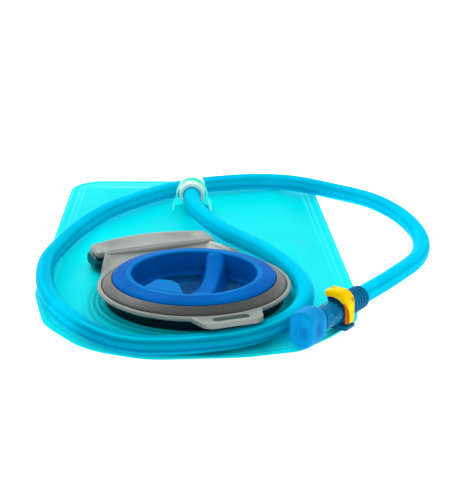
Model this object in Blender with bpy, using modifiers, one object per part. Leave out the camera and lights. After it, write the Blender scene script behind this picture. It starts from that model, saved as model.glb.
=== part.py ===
"""Hydration bladder: a soft water bag with a screw-capped fill port and a drinking hose.

The bag lies flat on its back film, +Z up. The origin is the middle of the bag's underside.
+Y runs along the bag to the end where the hose leaves it, and the fill port is at the -Y end.
The hose leaves the exit port, loops round the fill port and out past the bag's side, and ends
in a bite valve that lies on the bag's front corner.
"""
import math

import bmesh
import bpy
from mathutils import Matrix, Vector

# Every length below is in millimetres, and MM turns it into Blender's metres.
MM = 0.001

# Bag: corners of the outline as x, y and corner radius, anticlockwise from the back right.
BAG_CORNERS = [(70.5, 149.0, 24.0), (-81.5, 150.6, 20.0), (-88.8, -57.0, 45.0),
               (-80.5, -102.0, 45.0), (-57.0, -137.3, 50.0), (-24.0, -151.2, 40.0),
               (26.0, -147.8, 40.0), (54.0, -139.6, 14.0), (71.0, -119.5, 30.0),
               (85.5, -98.0, 30.0), (88.6, -66.0, 60.0)]
FILM = 0.5
SEAM_TOP = 1.4
SEAM_WIDTH = 8.0
SWELL_WIDTH = 22.0
FRONT_HEIGHT = 8.2
BACK_HEIGHT = 5.2
MIDDLE_X = -4.0
OUTLINE_POINTS = 84
LOFT_OFFSETS = [0.0, 8.0, 12.0, 16.0, 20.0, 25.0, 30.0, 55.0]

# Fill port: radii about its axis, and heights above the ground.
PORT = (-0.5, -84.7)
PORT_STEPS = 48
HANDLE_TURN = math.radians(21.0)
FLANGE_RADIUS = 49.5
TENT_WIDTH = 8.0
BORE_RADIUS = 40.6
UPSTAND_RADIUS = 42.6
RING_TOP = 18.0
BEZEL_TOP = 20.8
COLLAR_RADIUS = 51.7
NECK_RADIUS = 46.5
NECK_WINDOWS = 12
WELL_RADIUS = 33.5
WELL_FLOOR = 10.5
CAP_TOP = 23.6
CAP_RADIUS = 43.6
SKIRT_RADIUS = 38.9
SKIRT_BOTTOM = 6.4
THREAD_LEAD = 12.0
THREAD_STARTS = 2
THREAD_HELIX = 9.2

# Exit port, where the hose leaves along -Y.
EXIT = (-4.3, 78.3, 15.0)
ELBOW_BACK = 14.0
RISER_RADIUS = 4.8
HOOD_RADIUS = 9.6
HOOD_WALL = 0.9
HOOD_LEAN = math.radians(54.0)

# Hose: its route from the exit port to the strain relief.
HOSE_DIAMETER = 10.0
HOSE_ROUTE = [(-4.3, 78.0, 15.0), (-4.0, 66.3, 14.9), (-1.0, 48.8, 14.4), (8.7, 25.3, 13.7),
              (17.8, 7.8, 13.5), (28.5, -8.1, 13.6), (39.1, -24.7, 13.7), (48.1, -43.7, 13.7),
              (55.1, -64.2, 13.7), (58.1, -83.2, 13.4), (57.5, -100.2, 12.6),
              (52.5, -115.5, 11.3), (44.1, -127.1, 10.0), (33.5, -135.5, 8.6),
              (20.5, -142.3, 8.0), (4.0, -147.0, 7.8), (-12.0, -148.4, 7.3),
              (-27.5, -146.8, 6.8), (-41.0, -140.8, 7.0), (-54.6, -128.0, 7.6),
              (-69.0, -103.2, 7.2), (-78.8, -76.7, 7.0), (-83.7, -48.0, 7.0),
              (-84.0, -18.7, 7.0), (-77.8, 10.3, 7.1), (-68.8, 32.3, 9.2), (-55.2, 54.3, 11.6),
              (-41.5, 74.5, 11.2), (-28.0, 90.7, 10.8), (-11.0, 104.3, 10.7),
              (10.0, 113.5, 10.6), (34.5, 119.0, 10.4), (58.5, 120.4, 8.8),
              (82.0, 114.8, 5.8), (106.5, 95.8, 5.2), (122.5, 64.8, 5.2),
              (130.1, 26.3, 5.2), (126.0, -9.2, 5.3), (109.5, -48.0, 8.2), (87.5, -92.1, 12.4)]
HOSE_POINTS = 80

# Bite valve: +Z of its own frame runs along the water's way to the mouth, and +Y is up.
VALVE = (74.1, -112.2, 12.4)
VALVE_TURN = math.radians(33.7)
BODY_RADIUS = 6.2
CHAMBER_RADIUS = 5.2
ROTOR_RADIUS = 4.9
LEVER_BORE = 6.5
LEVER_LOW = -2.6
LEVER_HIGH = 5.2
PIN_ANGLE = math.radians(40.0)
PIN_STATION = -0.35
NOSE_RADIUS = 3.9
STEM_RADIUS = 6.0
BITE_SIZE = (13.8, 19.4, 16.8)
BITE_BACK = 19.6


# ---------------------------------------------------------------- helpers

def clear_scene():
    for obj in list(bpy.data.objects):
        bpy.data.objects.remove(obj, do_unlink=True)


def new_collection(name):
    collection = bpy.data.collections.new(name)
    bpy.context.scene.collection.children.link(collection)
    return collection


def shift(x=0.0, y=0.0, z=0.0):
    """A move by millimetres."""
    return Matrix.Translation(Vector((x, y, z)) * MM)


def axis_empty(name, matrix):
    empty = bpy.data.objects.new(name, None)
    PARTS.objects.link(empty)
    empty.matrix_world = matrix
    return empty


def mesh_object(name, bm, parent=None):
    mesh = bpy.data.meshes.new(name)
    bm.to_mesh(mesh)
    bm.free()
    obj = bpy.data.objects.new(name, mesh)
    PARTS.objects.link(obj)
    obj.parent = parent
    return obj


def colour_material(name, colour, roughness, metallic=0.0):
    material = bpy.data.materials.new(name)
    material.use_nodes = True
    shader = material.node_tree.nodes["Principled BSDF"]
    shader.inputs["Base Color"].default_value = (*colour, 1.0)
    shader.inputs["Roughness"].default_value = roughness
    shader.inputs["Metallic"].default_value = metallic
    return material


def finish(obj, colour, roughness, metallic=0.0):
    obj.data.materials.clear()
    obj.data.materials.append(colour_material(obj.name, colour, roughness, metallic))
    obj.data.shade_smooth()
    obj.data.set_sharp_from_angle(angle=math.radians(35.0))
    return obj


def cut(target, tool, operation="DIFFERENCE"):
    """Adds a live Boolean to target, and puts its tool with the cutters."""
    PARTS.objects.unlink(tool)
    CUTTERS.objects.link(tool)
    tool.hide_render = True
    tool.display_type = "WIRE"
    modifier = target.modifiers.new(operation.title(), "BOOLEAN")
    modifier.operation = operation
    modifier.object = tool
    modifier.solver = "EXACT"


def bevel(obj, width, segments, angle=30.0):
    modifier = obj.modifiers.new("Bevel", "BEVEL")
    modifier.width = width * MM
    modifier.segments = segments
    modifier.limit_method = "ANGLE"
    modifier.angle_limit = math.radians(angle)


def bake(obj):
    """Turns the modifiers so far into plain mesh."""
    bpy.context.view_layer.update()
    graph = bpy.context.evaluated_depsgraph_get()
    mesh = bpy.data.meshes.new_from_object(obj.evaluated_get(graph))
    obj.modifiers.clear()
    obj.data = mesh


def turned(name, profile, steps, parent=None, closed=True):
    """Turns a profile of (radius, height) about Z. It runs down its outer side."""
    bm = bmesh.new()
    verts = [bm.verts.new((radius * MM, 0.0, height * MM)) for radius, height in profile]
    for first, second in zip(verts, verts[1:]):
        bm.edges.new((first, second))
    if closed:
        bm.edges.new((verts[-1], verts[0]))
    obj = mesh_object(name, bm, parent)
    screw = obj.modifiers.new("Screw", "SCREW")
    screw.steps = steps
    screw.render_steps = steps
    screw.use_merge_vertices = True
    screw.merge_threshold = 0.00001
    bake(obj)
    return obj


def prism(name, outline, low, high, parent=None):
    """Extrudes an outline of (x, y) from height low to height high."""
    bm = bmesh.new()
    face = bm.faces.new([bm.verts.new((x * MM, y * MM, low * MM)) for x, y in outline])
    rise = bmesh.ops.extrude_face_region(bm, geom=[face])
    moved = [item for item in rise["geom"] if isinstance(item, bmesh.types.BMVert)]
    bmesh.ops.translate(bm, verts=moved, vec=(0.0, 0.0, (high - low) * MM))
    bmesh.ops.recalc_face_normals(bm, faces=bm.faces)
    return mesh_object(name, bm, parent)


def cylinder(name, radius, low, high, parent=None, matrix=Matrix(), segments=24):
    """A cylinder about the Z of matrix, from height low to height high."""
    bm = bmesh.new()
    bmesh.ops.create_cone(bm, cap_ends=True, segments=segments, radius1=radius * MM,
                          radius2=radius * MM, depth=(high - low) * MM,
                          matrix=matrix @ shift(z=(low + high) / 2.0))
    return mesh_object(name, bm, parent)


def box(name, size, centre, parent=None):
    bm = bmesh.new()
    matrix = shift(*centre) @ Matrix.Diagonal((*(Vector(size) * MM), 1.0))
    bmesh.ops.create_cube(bm, size=1.0, matrix=matrix)
    return mesh_object(name, bm, parent)


def arc(centre, radius, start, end, steps):
    """Points on an arc, its angles in degrees."""
    angles = [math.radians(start + (end - start) * i / steps) for i in range(steps + 1)]
    return [(centre[0] + radius * math.cos(a), centre[1] + radius * math.sin(a))
            for a in angles]


def rounded(corners, steps=5):
    """Rounds each corner (x, y, radius) of an anticlockwise outline."""
    points = []
    for index, (x, y, radius) in enumerate(corners):
        corner = Vector((x, y))
        before = (Vector(corners[index - 1][:2]) - corner).normalized()
        after = (Vector(corners[(index + 1) % len(corners)][:2]) - corner).normalized()
        half = before.angle(after) / 2.0
        centre = corner + (before + after).normalized() * radius / math.sin(half)
        start = corner + before * radius / math.tan(half) - centre
        sweep = math.pi - 2.0 * half
        turn = 1.0 if before.x * after.y - before.y * after.x < 0.0 else -1.0
        for step in range(steps + 1):
            arm = Matrix.Rotation(turn * sweep * step / steps, 2) @ start
            points.append((centre.x + arm.x, centre.y + arm.y))
    return points


def smooth_step(value):
    value = min(max(value, 0.0), 1.0)
    return value * value * (3.0 - 2.0 * value)


# ---------------------------------------------------------------- bag

def even_loop(points, count):
    """Walks a closed outline and returns count points at equal distances along it."""
    loop = [Vector(point) for point in points]
    loop.append(loop[0])
    lengths = [(second - first).length for first, second in zip(loop, loop[1:])]
    step = sum(lengths) / count
    even = []
    travelled = 0.0
    for first, second, length in zip(loop, loop[1:], lengths):
        while len(even) < count and len(even) * step < travelled + length:
            even.append(first.lerp(second, (len(even) * step - travelled) / length))
        travelled += length
    return even


def centred(points):
    """Moves an outline so that the middle of its box is the origin."""
    low = Vector((min(p.x for p in points), min(p.y for p in points)))
    high = Vector((max(p.x for p in points), max(p.y for p in points)))
    return [point - (low + high) / 2.0 for point in points]


def edge_distance(point, outline):
    """Distance from a point inside the bag to its outline."""
    distances = []
    for first, second in zip(outline, outline[1:] + outline[:1]):
        side = second - first
        along = min(max((point - first).dot(side) / side.length_squared, 0.0), 1.0)
        distances.append((first + side * along - point).length)
    return min(distances)


def film_top(point, outline):
    """Height of the front film: flat at the seam, swollen inside, and tented over the port."""
    fall = smooth_step((point.y + 15.0) / 110.0)
    plateau = FRONT_HEIGHT + (BACK_HEIGHT - FRONT_HEIGHT) * fall
    distance = edge_distance(point, outline)
    swell = smooth_step((distance - SEAM_WIDTH) / SWELL_WIDTH) * (plateau - SEAM_TOP)
    from_port = (point - Vector(PORT)).length
    tent_edge = FLANGE_RADIUS + 2.5 + TENT_WIDTH
    tent = smooth_step((tent_edge - from_port) / TENT_WIDTH) * (FRONT_HEIGHT - SEAM_TOP)
    return SEAM_TOP + max(swell, tent)


def loft_ring(outline, offset):
    """Moves each outline point inwards, towards the bag's long middle line."""
    ring = []
    for point in outline:
        target = Vector((MIDDLE_X, min(max(point.y, -75.0), 85.0)))
        ring.append(point + (target - point).normalized() * offset)
    return ring


def bag_front_film(outline):
    bm = bmesh.new()
    loops = []
    for offset in LOFT_OFFSETS:
        ring = loft_ring(outline, offset)
        loops.append([bm.verts.new(Vector((p.x, p.y, film_top(p, outline))) * MM) for p in ring])
    count = len(outline)
    for outer, inner in zip(loops, loops[1:]):
        for i in range(count):
            j = (i + 1) % count
            bm.faces.new((outer[i], outer[j], inner[j], inner[i]))
    inner = loops[-1]
    rim = [bm.edges.get((inner[i - 1], inner[i])) for i in range(count)]
    filled = bmesh.ops.triangle_fill(bm, edges=rim, use_beauty=True, normal=(0.0, 0.0, 1.0))
    for face in filled["geom"]:
        if isinstance(face, bmesh.types.BMFace) and face.normal.z < 0.0:
            face.normal_flip()
    film = mesh_object("bag_front_film", bm)
    shell = film.modifiers.new("Solidify", "SOLIDIFY")
    shell.thickness = FILM * MM
    shell.offset = -1.0
    bake(film)
    cut(film, cylinder("port_hole", UPSTAND_RADIUS + 0.3, -10.0, 20.0, None, shift(*PORT),
                       PORT_STEPS))
    cut(film, cylinder("exit_hole", RISER_RADIUS + 0.5, -10.0, 20.0, None,
                       shift(EXIT[0], EXIT[1] + ELBOW_BACK)))
    return finish(film, (0.0, 0.72, 0.80), 0.18)


def bag_back_film(outline):
    film = prism("bag_back_film", outline, 0.0, FILM)
    return finish(film, (0.0, 0.66, 0.76), 0.22)


# ---------------------------------------------------------------- fill port

def thread_ridge(name, root, tip, helix, span, start, parent):
    """One start of the right-hand cap thread: a trapezoid carried up a helix.

    helix is the ridge's height at the angle 0, and span its first and last angle in degrees.
    """
    steps = 26
    half_root = 1.1
    half_tip = 0.7
    section = [(root, -half_root), (tip, -half_tip), (tip, half_tip), (root, half_root)]
    bm = bmesh.new()
    rings = []
    for step in range(steps + 1):
        angle = math.radians(span[0] + (span[1] - span[0]) * step / steps)
        place = (shift(z=helix + THREAD_LEAD * angle / math.tau)
                 @ Matrix.Rotation(start + angle, 4, "Z"))
        rings.append([bm.verts.new(place @ Vector((r * MM, 0.0, z * MM))) for r, z in section])
    for first, second in zip(rings, rings[1:]):
        for i in range(4):
            j = (i + 1) % 4
            bm.faces.new((first[i], first[j], second[j], second[i]))
    bm.faces.new(rings[0])
    bm.faces.new(rings[-1])
    bmesh.ops.recalc_face_normals(bm, faces=bm.faces)
    return mesh_object(name, bm, parent)


def port_weld_flange(port):
    """Soft ring that the front film is welded to; its upstand carries the inner thread."""
    flange = turned("port_weld_flange",
                    [(BORE_RADIUS, 15.5), (UPSTAND_RADIUS, 15.5), (UPSTAND_RADIUS, 7.4),
                     (FLANGE_RADIUS, 6.9), (FLANGE_RADIUS, 5.9), (UPSTAND_RADIUS, 5.6),
                     (BORE_RADIUS, 5.6)], PORT_STEPS, port)
    for start in range(THREAD_STARTS):
        ridge = thread_ridge("neck_thread", BORE_RADIUS + 0.4, BORE_RADIUS - 1.3, THREAD_HELIX,
                             (-66.0, 155.0), math.tau * start / THREAD_STARTS, port)
        cut(flange, ridge, "UNION")
    return finish(flange, (0.10, 0.55, 0.58), 0.35)


def port_neck(port):
    """Dark hard ring that stands on the film round the upstand, with small windows."""
    inner = UPSTAND_RADIUS + 0.3
    neck = turned("port_neck",
                  [(inner, 13.6), (NECK_RADIUS, 13.6), (NECK_RADIUS, 9.9),
                   (NECK_RADIUS + 1.1, 9.6), (NECK_RADIUS + 1.1, 8.6), (inner, 8.6)],
                  PORT_STEPS, port)
    bm = bmesh.new()
    for window in range(NECK_WINDOWS):
        turn = Matrix.Rotation(math.tau * (window + 0.5) / NECK_WINDOWS, 4, "Z")
        size = Matrix.Diagonal((2.4 * MM, 5.0 * MM, 1.6 * MM, 1.0))
        matrix = turn @ shift(NECK_RADIUS, 0.0, 11.9) @ size
        bmesh.ops.create_cube(bm, size=1.0, matrix=matrix)
    cut(neck, mesh_object("neck_windows", bm, port))
    return finish(neck, (0.004, 0.035, 0.045), 0.4)


def handle_bar_line(trim=0.0):
    """Outline of the carry handle's bar, straight in front and bowed at the back."""
    left = -36.2 + trim
    right = 34.8 - trim
    back = arc((0.0, 11.2), 72.3 - trim, 61.2, 120.0, 12)
    return ([(left + 3.2, 57.0 + trim), (right - 3.2, 57.0 + trim), (right, 60.0)] + back
            + [(left, 60.0)])


def handle_collar(port):
    """Grey collar round the neck, with the T-shaped carry handle and the slotted strap tab."""
    inner = UPSTAND_RADIUS + 0.3
    collar = turned("handle_collar",
                    [(inner, 15.4), (49.5, 15.4), (49.5, 17.2), (51.0, 17.2),
                     (COLLAR_RADIUS, 16.6), (COLLAR_RADIUS, 15.6), (50.6, 14.7), (inner, 13.9)],
                    PORT_STEPS, port)
    bar = prism("handle_bar", handle_bar_line(), 12.6, 19.6, port)
    bevel(bar, 2.8, 2, 50.0)
    web = prism("handle_web", [(-30.0, 61.0), (-44.0, 27.0), (44.0, 27.0), (30.0, 61.0)],
                14.2, RING_TOP, port)
    tab = prism("strap_tab", rounded([(-20.0, -44.0, 2.0), (-15.0, -61.0, 6.0),
                                      (15.0, -61.0, 6.0), (20.0, -44.0, 2.0)]), 14.7, 17.0, port)
    for piece in (web, tab):
        cut(piece, cylinder("collar_keep_out", COLLAR_RADIUS - 1.4, -40.0, 40.0, port,
                            segments=PORT_STEPS))
    for piece in (web, bar, tab):
        cut(collar, piece, "UNION")
    cut(collar, prism("strap_slot", rounded([(-10.0, -57.0, 2.5), (10.0, -57.0, 2.5),
                                             (10.0, -51.9, 2.5), (-10.0, -51.9, 2.5)]),
                      10.0, 30.0, port))
    cut(collar, prism("lock_window", rounded([(-4.2, 52.6, 1.1), (4.2, 52.6, 1.1),
                                              (4.2, 55.2, 1.1), (-4.2, 55.2, 1.1)]),
                      16.0, 30.0, port))
    return finish(collar, (0.42, 0.45, 0.42), 0.4)


def handle_grip_pad(port):
    """Dark soft pad under the handle's bar, where the fingers curl."""
    pad = prism("handle_grip_pad", handle_bar_line(1.0), 9.7, 12.3, port)
    bevel(pad, 1.0, 1, 50.0)
    return finish(pad, (0.0, 0.06, 0.07), 0.6)


def port_top_ring(port):
    """Matte bezel that slopes down from the cap's edge to the collar's rim."""
    ring = turned("port_top_ring",
                  [(44.0, BEZEL_TOP), (44.5, BEZEL_TOP), (48.5, RING_TOP), (49.2, RING_TOP - 0.7),
                   (49.2, 15.7), (44.0, 15.7)], PORT_STEPS, port)
    return finish(ring, (0.13, 0.16, 0.15), 0.7)


def cap_gasket(port):
    gasket = turned("cap_gasket",
                    [(40.4, 17.0), (42.1, 17.0), (42.3, 16.4), (42.1, 15.8), (40.4, 15.8),
                     (40.2, 16.4)], PORT_STEPS, port)
    return finish(gasket, (0.02, 0.02, 0.025), 0.6)


def fill_cap(port):
    """Blue screw cap: crowned flange, finger well with a grip bar, thumb tab and thread."""
    profile = [(0.0, WELL_FLOOR), (WELL_RADIUS - 1.0, WELL_FLOOR), (WELL_RADIUS, WELL_FLOOR + 1.0),
               (WELL_RADIUS, CAP_TOP - 0.9), (WELL_RADIUS + 0.9, CAP_TOP), (36.6, CAP_TOP - 0.1),
               (42.3, 22.3), (CAP_RADIUS, 21.3), (CAP_RADIUS, 17.6), (43.2, 17.3),
               (SKIRT_RADIUS, 17.3), (SKIRT_RADIUS, SKIRT_BOTTOM),
               (SKIRT_RADIUS - 1.5, SKIRT_BOTTOM), (SKIRT_RADIUS - 1.5, 16.0), (35.2, 16.0),
               (35.2, WELL_FLOOR - 1.5), (0.0, WELL_FLOOR - 1.5)]
    cap = turned("fill_cap", profile, PORT_STEPS, port, closed=False)
    left_edge = [(5.0, 34.4), (5.6, 14.0), (3.0, 0.0), (-1.4, -14.0), (-4.2, -34.4)]
    right_edge = [(11.0, -34.4), (11.0, -16.0), (12.8, 0.0), (14.6, 14.0), (18.0, 31.0)]
    bar = prism("grip_bar", left_edge + right_edge, 10.0, 23.0, port)
    saddle_axis = shift(z=93.5) @ Matrix.Rotation(math.pi / 2.0, 4, "Y")
    cut(bar, cylinder("grip_saddle", 77.0, -40.0, 40.0, port, saddle_axis, 128))
    tab = prism("thumb_tab", [(-25.5, -22.5), (-5.0, -34.0), (-9.0, -17.0), (-11.5, -12.9),
                              (-19.4, -10.9)], 20.4, 23.0, port)
    for piece in (bar, tab):
        cut(cap, piece, "UNION")
    for start in range(THREAD_STARTS):
        ridge = thread_ridge("cap_thread", SKIRT_RADIUS - 0.4, SKIRT_RADIUS + 1.2,
                             THREAD_HELIX - 2.6, (32.0, 152.0),
                             math.tau * start / THREAD_STARTS, port)
        cut(cap, ridge, "UNION")
    return finish(cap, (0.0, 0.13, 0.62), 0.3)


# ---------------------------------------------------------------- exit port

def half_oval(width, height, steps=16):
    """Upper half of an oval of the given half width and height, from right to left."""
    return [(width * x, height * y) for x, y in arc((0.0, 0.0), 1.0, 0.0, 180.0, steps)]


def exit_port_base(port):
    """Clear moulding on the film: a base plate and a leaning arch over the hose end."""
    plate = prism("exit_port_base", rounded([(-12.2, -10.2, 1.2), (12.2, -10.2, 1.2),
                                             (12.2, 20.9, 11.5), (-12.2, 20.9, 11.5)]),
                  -8.6, -7.4, port)
    cut(plate, prism("plate_notch", rounded([(-9.0, -20.0, 1.0), (9.0, -20.0, 1.0),
                                             (9.0, 1.0, 4.0), (-9.0, 1.0, 4.0)]),
                     -12.0, 0.0, port))
    foot = -9.6
    inner = HOOD_RADIUS - HOOD_WALL
    arch_line = ([(12.0, foot)] + half_oval(HOOD_RADIUS, HOOD_RADIUS / math.sin(HOOD_LEAN))
                 + [(-12.0, foot), (-11.0, foot)]
                 + half_oval(inner, inner / math.sin(HOOD_LEAN))[::-1] + [(11.0, foot)])
    arch = prism("exit_arch", arch_line, -1.1, 1.1, port)
    arch.rotation_euler = (HOOD_LEAN, 0.0, 0.0)
    arch.location.y = -2.6 * MM
    cut(arch, box("arch_foot_cut", (40.0, 40.0, 10.0), (0.0, 0.0, -13.4), port))
    cut(plate, arch, "UNION")
    cut(plate, cylinder("elbow_well", RISER_RADIUS + 0.5, -18.0, 2.0, port, shift(y=ELBOW_BACK)))
    return finish(plate, (0.05, 0.80, 0.62), 0.15)


def exit_elbow(port):
    """Hard elbow from inside the bag to the hose: foot, riser, barrel and barbed spigot."""
    elbow = turned("exit_elbow",
                   [(0.0, 3.0), (RISER_RADIUS, 1.4), (RISER_RADIUS, -11.0), (9.0, -11.1),
                    (9.0, -12.1), (0.0, -12.1)], 28, port, closed=False)
    elbow.location.y = ELBOW_BACK * MM
    across = shift(y=ELBOW_BACK) @ Matrix.Rotation(math.pi / 2.0, 4, "X")
    spigot = turned("spigot", [(0.0, 13.8), (2.9, 13.8), (3.6, 11.6), (3.0, 11.5), (3.0, 10.6),
                               (3.6, 8.4), (3.0, 8.3), (3.0, 6.2), (5.3, 6.2), (5.3, -4.6),
                               (0.0, -4.6)], 28, port, closed=False)
    spigot.matrix_local = across
    cut(elbow, spigot, "UNION")
    cut(elbow, cylinder("riser_bore", 2.2, -13.0, 0.5, port, shift(y=ELBOW_BACK)))
    cut(elbow, cylinder("barrel_bore", 2.2, -1.0, 16.0, port, across))
    return finish(elbow, (0.75, 0.88, 0.86), 0.25)


def elbow_o_ring(port):
    ring = turned("elbow_o_ring", arc((5.6, -6.6), 0.45, 180.0, -120.0, 5), 20, port)
    ring.location.y = ELBOW_BACK * MM
    return finish(ring, (0.02, 0.02, 0.02), 0.5)


def connector_sleeve(port):
    """White stepped clip pushed over the hose end; it is open along its underside."""
    sleeve = turned("connector_sleeve",
                    [(5.7, 2.6), (7.2, 2.6), (7.6, 2.2), (7.8, -3.8), (7.8, -17.6),
                     (7.2, -18.4), (5.7, -18.4)], 36, port)
    sleeve.rotation_euler = (math.pi / 2.0, 0.0, 0.0)
    cut(sleeve, box("sleeve_opening", (10.7, 40.0, 20.0), (0.0, 0.0, -12.6), port))
    return finish(sleeve, (0.86, 0.94, 0.92), 0.3)


# ---------------------------------------------------------------- hose

def smooth_route(route, count):
    """Reads count points at equal spacing from a smooth curve through the route's points."""
    ends = [2.0 * route[0] - route[1], *route, 2.0 * route[-1] - route[-2]]
    fine = []
    for a, b, c, d in zip(ends, ends[1:], ends[2:], ends[3:]):
        for step in range(12):
            t = step / 12.0
            fine.append(0.5 * ((2.0 * b) + (c - a) * t + (2.0 * a - 5.0 * b + 4.0 * c - d) * t * t
                               + (3.0 * b - a - 3.0 * c + d) * t * t * t))
    fine.append(route[-1])
    lengths = [0.0]
    for first, second in zip(fine, fine[1:]):
        lengths.append(lengths[-1] + (second - first).length)
    points = []
    index = 0
    for i in range(count):
        wanted = lengths[-1] * i / (count - 1)
        while index < len(fine) - 2 and lengths[index + 1] < wanted:
            index += 1
        part = (wanted - lengths[index]) / (lengths[index + 1] - lengths[index])
        points.append(fine[index].lerp(fine[index + 1], min(part, 1.0)))
    return points


def hose():
    points = smooth_route([Vector(point) * MM for point in HOSE_ROUTE], HOSE_POINTS)
    curve = bpy.data.curves.new("hose", "CURVE")
    curve.dimensions = "3D"
    curve.bevel_depth = HOSE_DIAMETER / 2.0 * MM
    curve.bevel_resolution = 3
    curve.use_fill_caps = True
    spline = curve.splines.new("POLY")
    spline.points.add(len(points) - 1)
    for knot, point in zip(spline.points, points):
        knot.co = (*point, 1.0)
    tube = bpy.data.objects.new("hose", curve)
    PARTS.objects.link(tube)
    curve.materials.append(colour_material("hose", (0.0, 0.45, 0.72), 0.15))
    return tube


# ---------------------------------------------------------------- bite valve

def strain_relief(valve):
    """Ribbed boot round the end of the hose."""
    profile = [(5.3, -4.5), (6.4, -4.5)]
    ribs = 5
    pitch = 3.6
    for rib in range(ribs):
        top = -5.4 - rib * pitch
        profile += [(6.4, top), (5.9, top - 0.5), (5.9, top - 1.5), (6.4, top - 2.0)]
    profile += [(6.2, -23.3), (5.3, -23.3)]
    return finish(turned("strain_relief", profile, 28, valve), (0.0, 0.11, 0.28), 0.45)


def valve_barb(valve):
    """Barbed tube that the hose is pushed on, seated in the valve body."""
    barb = turned("valve_barb",
                  [(2.0, -3.5), (3.9, -3.5), (3.9, -4.6), (2.9, -4.8), (2.9, -8.6), (3.6, -8.8),
                   (2.9, -11.4), (2.9, -12.6), (3.6, -12.8), (2.7, -15.6), (2.0, -15.6)],
                  24, valve)
    return finish(barb, (0.75, 0.85, 0.88), 0.3)


def off_centre_hole(name, low, high, valve):
    """A hole that lines up between body and rotor only when the lever stands open."""
    angle = PIN_ANGLE + math.pi
    place = shift(1.9 * math.cos(angle), 1.9 * math.sin(angle))
    return cylinder(name, 1.2, low, high, valve, place, 16)


def valve_body(valve):
    """Dark blue housing: a round drum under the lever on a rounded square foot."""
    body = turned("valve_body",
                  [(0.0, 3.0), (BODY_RADIUS - 0.5, 3.0), (BODY_RADIUS, 2.6), (BODY_RADIUS, -4.2),
                   (0.0, -4.2)], 36, valve, closed=False)
    foot = prism("valve_foot", rounded([(-5.8, -9.4, 2.6), (8.6, -9.4, 1.8), (8.6, -6.9, 0.5),
                                        (3.0, -6.9, 0.3), (3.0, -3.0, 0.3), (-5.8, -3.0, 0.5)], 4),
                 -4.0, 3.3, valve)
    cut(body, foot, "UNION")
    for name, radius, low, high in (("rotor_chamber", CHAMBER_RADIUS, -1.9, 9.0),
                                    ("barb_flange_seat", 4.2, -11.0, -3.2)):
        cut(body, cylinder(name, radius, low, high, valve, segments=32))
    cut(body, off_centre_hole("body_water_way", -5.0, 0.0, valve))
    window_line = arc((0.0, 0.0), 4.6, 28.0, 142.0, 12) + arc((0.0, 0.0), 10.5, 142.0, 28.0, 12)
    cut(body, prism("pin_window", window_line, PIN_STATION - 1.1, PIN_STATION + 1.1, valve))
    return finish(body, (0.0, 0.07, 0.17), 0.35)


def radial_rod(name, radius, inner, outer, valve):
    """Cylinder along the lever pin's radius, from one distance off the axis to another."""
    place = (Matrix.Rotation(PIN_ANGLE, 4, "Z") @ shift(z=PIN_STATION)
             @ Matrix.Rotation(math.pi / 2.0, 4, "Y"))
    return cylinder(name, radius, inner, outer, valve, place, 16)


def valve_rotor(valve):
    """Turning plug: its floor opens and shuts the water way, and the stem sits on its nose."""
    groove = ROTOR_RADIUS - 0.8
    nose_groove = NOSE_RADIUS - 0.75
    rotor = turned("valve_rotor",
                   [(0.0, 0.9), (3.2, 0.9), (3.2, 2.8), (2.4, 3.4), (2.4, 10.8),
                    (NOSE_RADIUS, 10.8), (NOSE_RADIUS, 9.3), (nose_groove, 9.3),
                    (nose_groove, 8.1), (NOSE_RADIUS, 8.1), (NOSE_RADIUS, 3.3),
                    (ROTOR_RADIUS, 3.3), (ROTOR_RADIUS, 2.7), (groove, 2.7), (groove, 1.5),
                    (ROTOR_RADIUS, 1.5), (ROTOR_RADIUS, -1.6), (0.0, -1.6)],
                   32, valve, closed=False)
    cut(rotor, off_centre_hole("rotor_water_way", -3.0, 1.9, valve))
    cut(rotor, radial_rod("pin_seat", 1.0, 3.4, 6.0, valve))
    return finish(rotor, (0.80, 0.82, 0.80), 0.35)


def o_ring(name, radius, section, station, valve):
    ring = turned(name, arc((radius, station), section, 180.0, -120.0, 5), 20, valve)
    return finish(ring, (0.02, 0.02, 0.02), 0.5)


def shutoff_lever(valve):
    """Yellow hook-shaped lever: a dome over the drum and a straight thumb arm down its side."""
    outer = [(LEVER_BORE, -5.6), (9.0, -5.6), (9.6, -5.0)] + arc((2.8, 5.6), 6.8, 0.0, 80.0, 7)
    outer += arc((-0.6, 4.9), 7.5, 92.0, 118.0, 3)
    inner = [(-5.0, 9.6), (-4.6, 8.6)] + arc((0.0, 0.0), LEVER_BORE, 112.0, 0.0, 14)
    lever = prism("shutoff_lever", outer + inner, LEVER_LOW, LEVER_HIGH, valve)
    cut(lever, radial_rod("pin_hole", 1.0, 5.0, 16.0, valve))
    return finish(lever, (1.0, 0.60, 0.0), 0.35)


def lever_pin(valve):
    return finish(radial_rod("lever_pin", 0.75, 3.6, 10.3, valve), (0.6, 0.6, 0.6), 0.3, 1.0)


def valve_stem(valve):
    """Blue swivelling stem: dented barrel over the rotor's nose, and nipple for the mouth."""
    socket = NOSE_RADIUS + 0.3
    stem = turned("valve_stem",
                  [(2.6, 29.6), (3.9, 29.6), (4.5, 28.0), (4.5, 27.2), (3.9, 27.0),
                   (3.9, 19.8), (STEM_RADIUS - 0.8, 19.2), (STEM_RADIUS, 18.2),
                   (STEM_RADIUS, 5.2), (STEM_RADIUS - 1.2, 3.8), (socket, 3.8), (socket, 11.4),
                   (2.6, 11.4)], 32, valve)
    bm = bmesh.new()
    for side in (-1.0, 1.0):
        bmesh.ops.create_uvsphere(bm, u_segments=16, v_segments=8, radius=4.2 * MM,
                                  matrix=shift(side * 9.0, 0.0, 10.0))
    cut(stem, mesh_object("stem_dents", bm, valve))
    return finish(stem, (0.0, 0.19, 0.42), 0.25)


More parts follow.
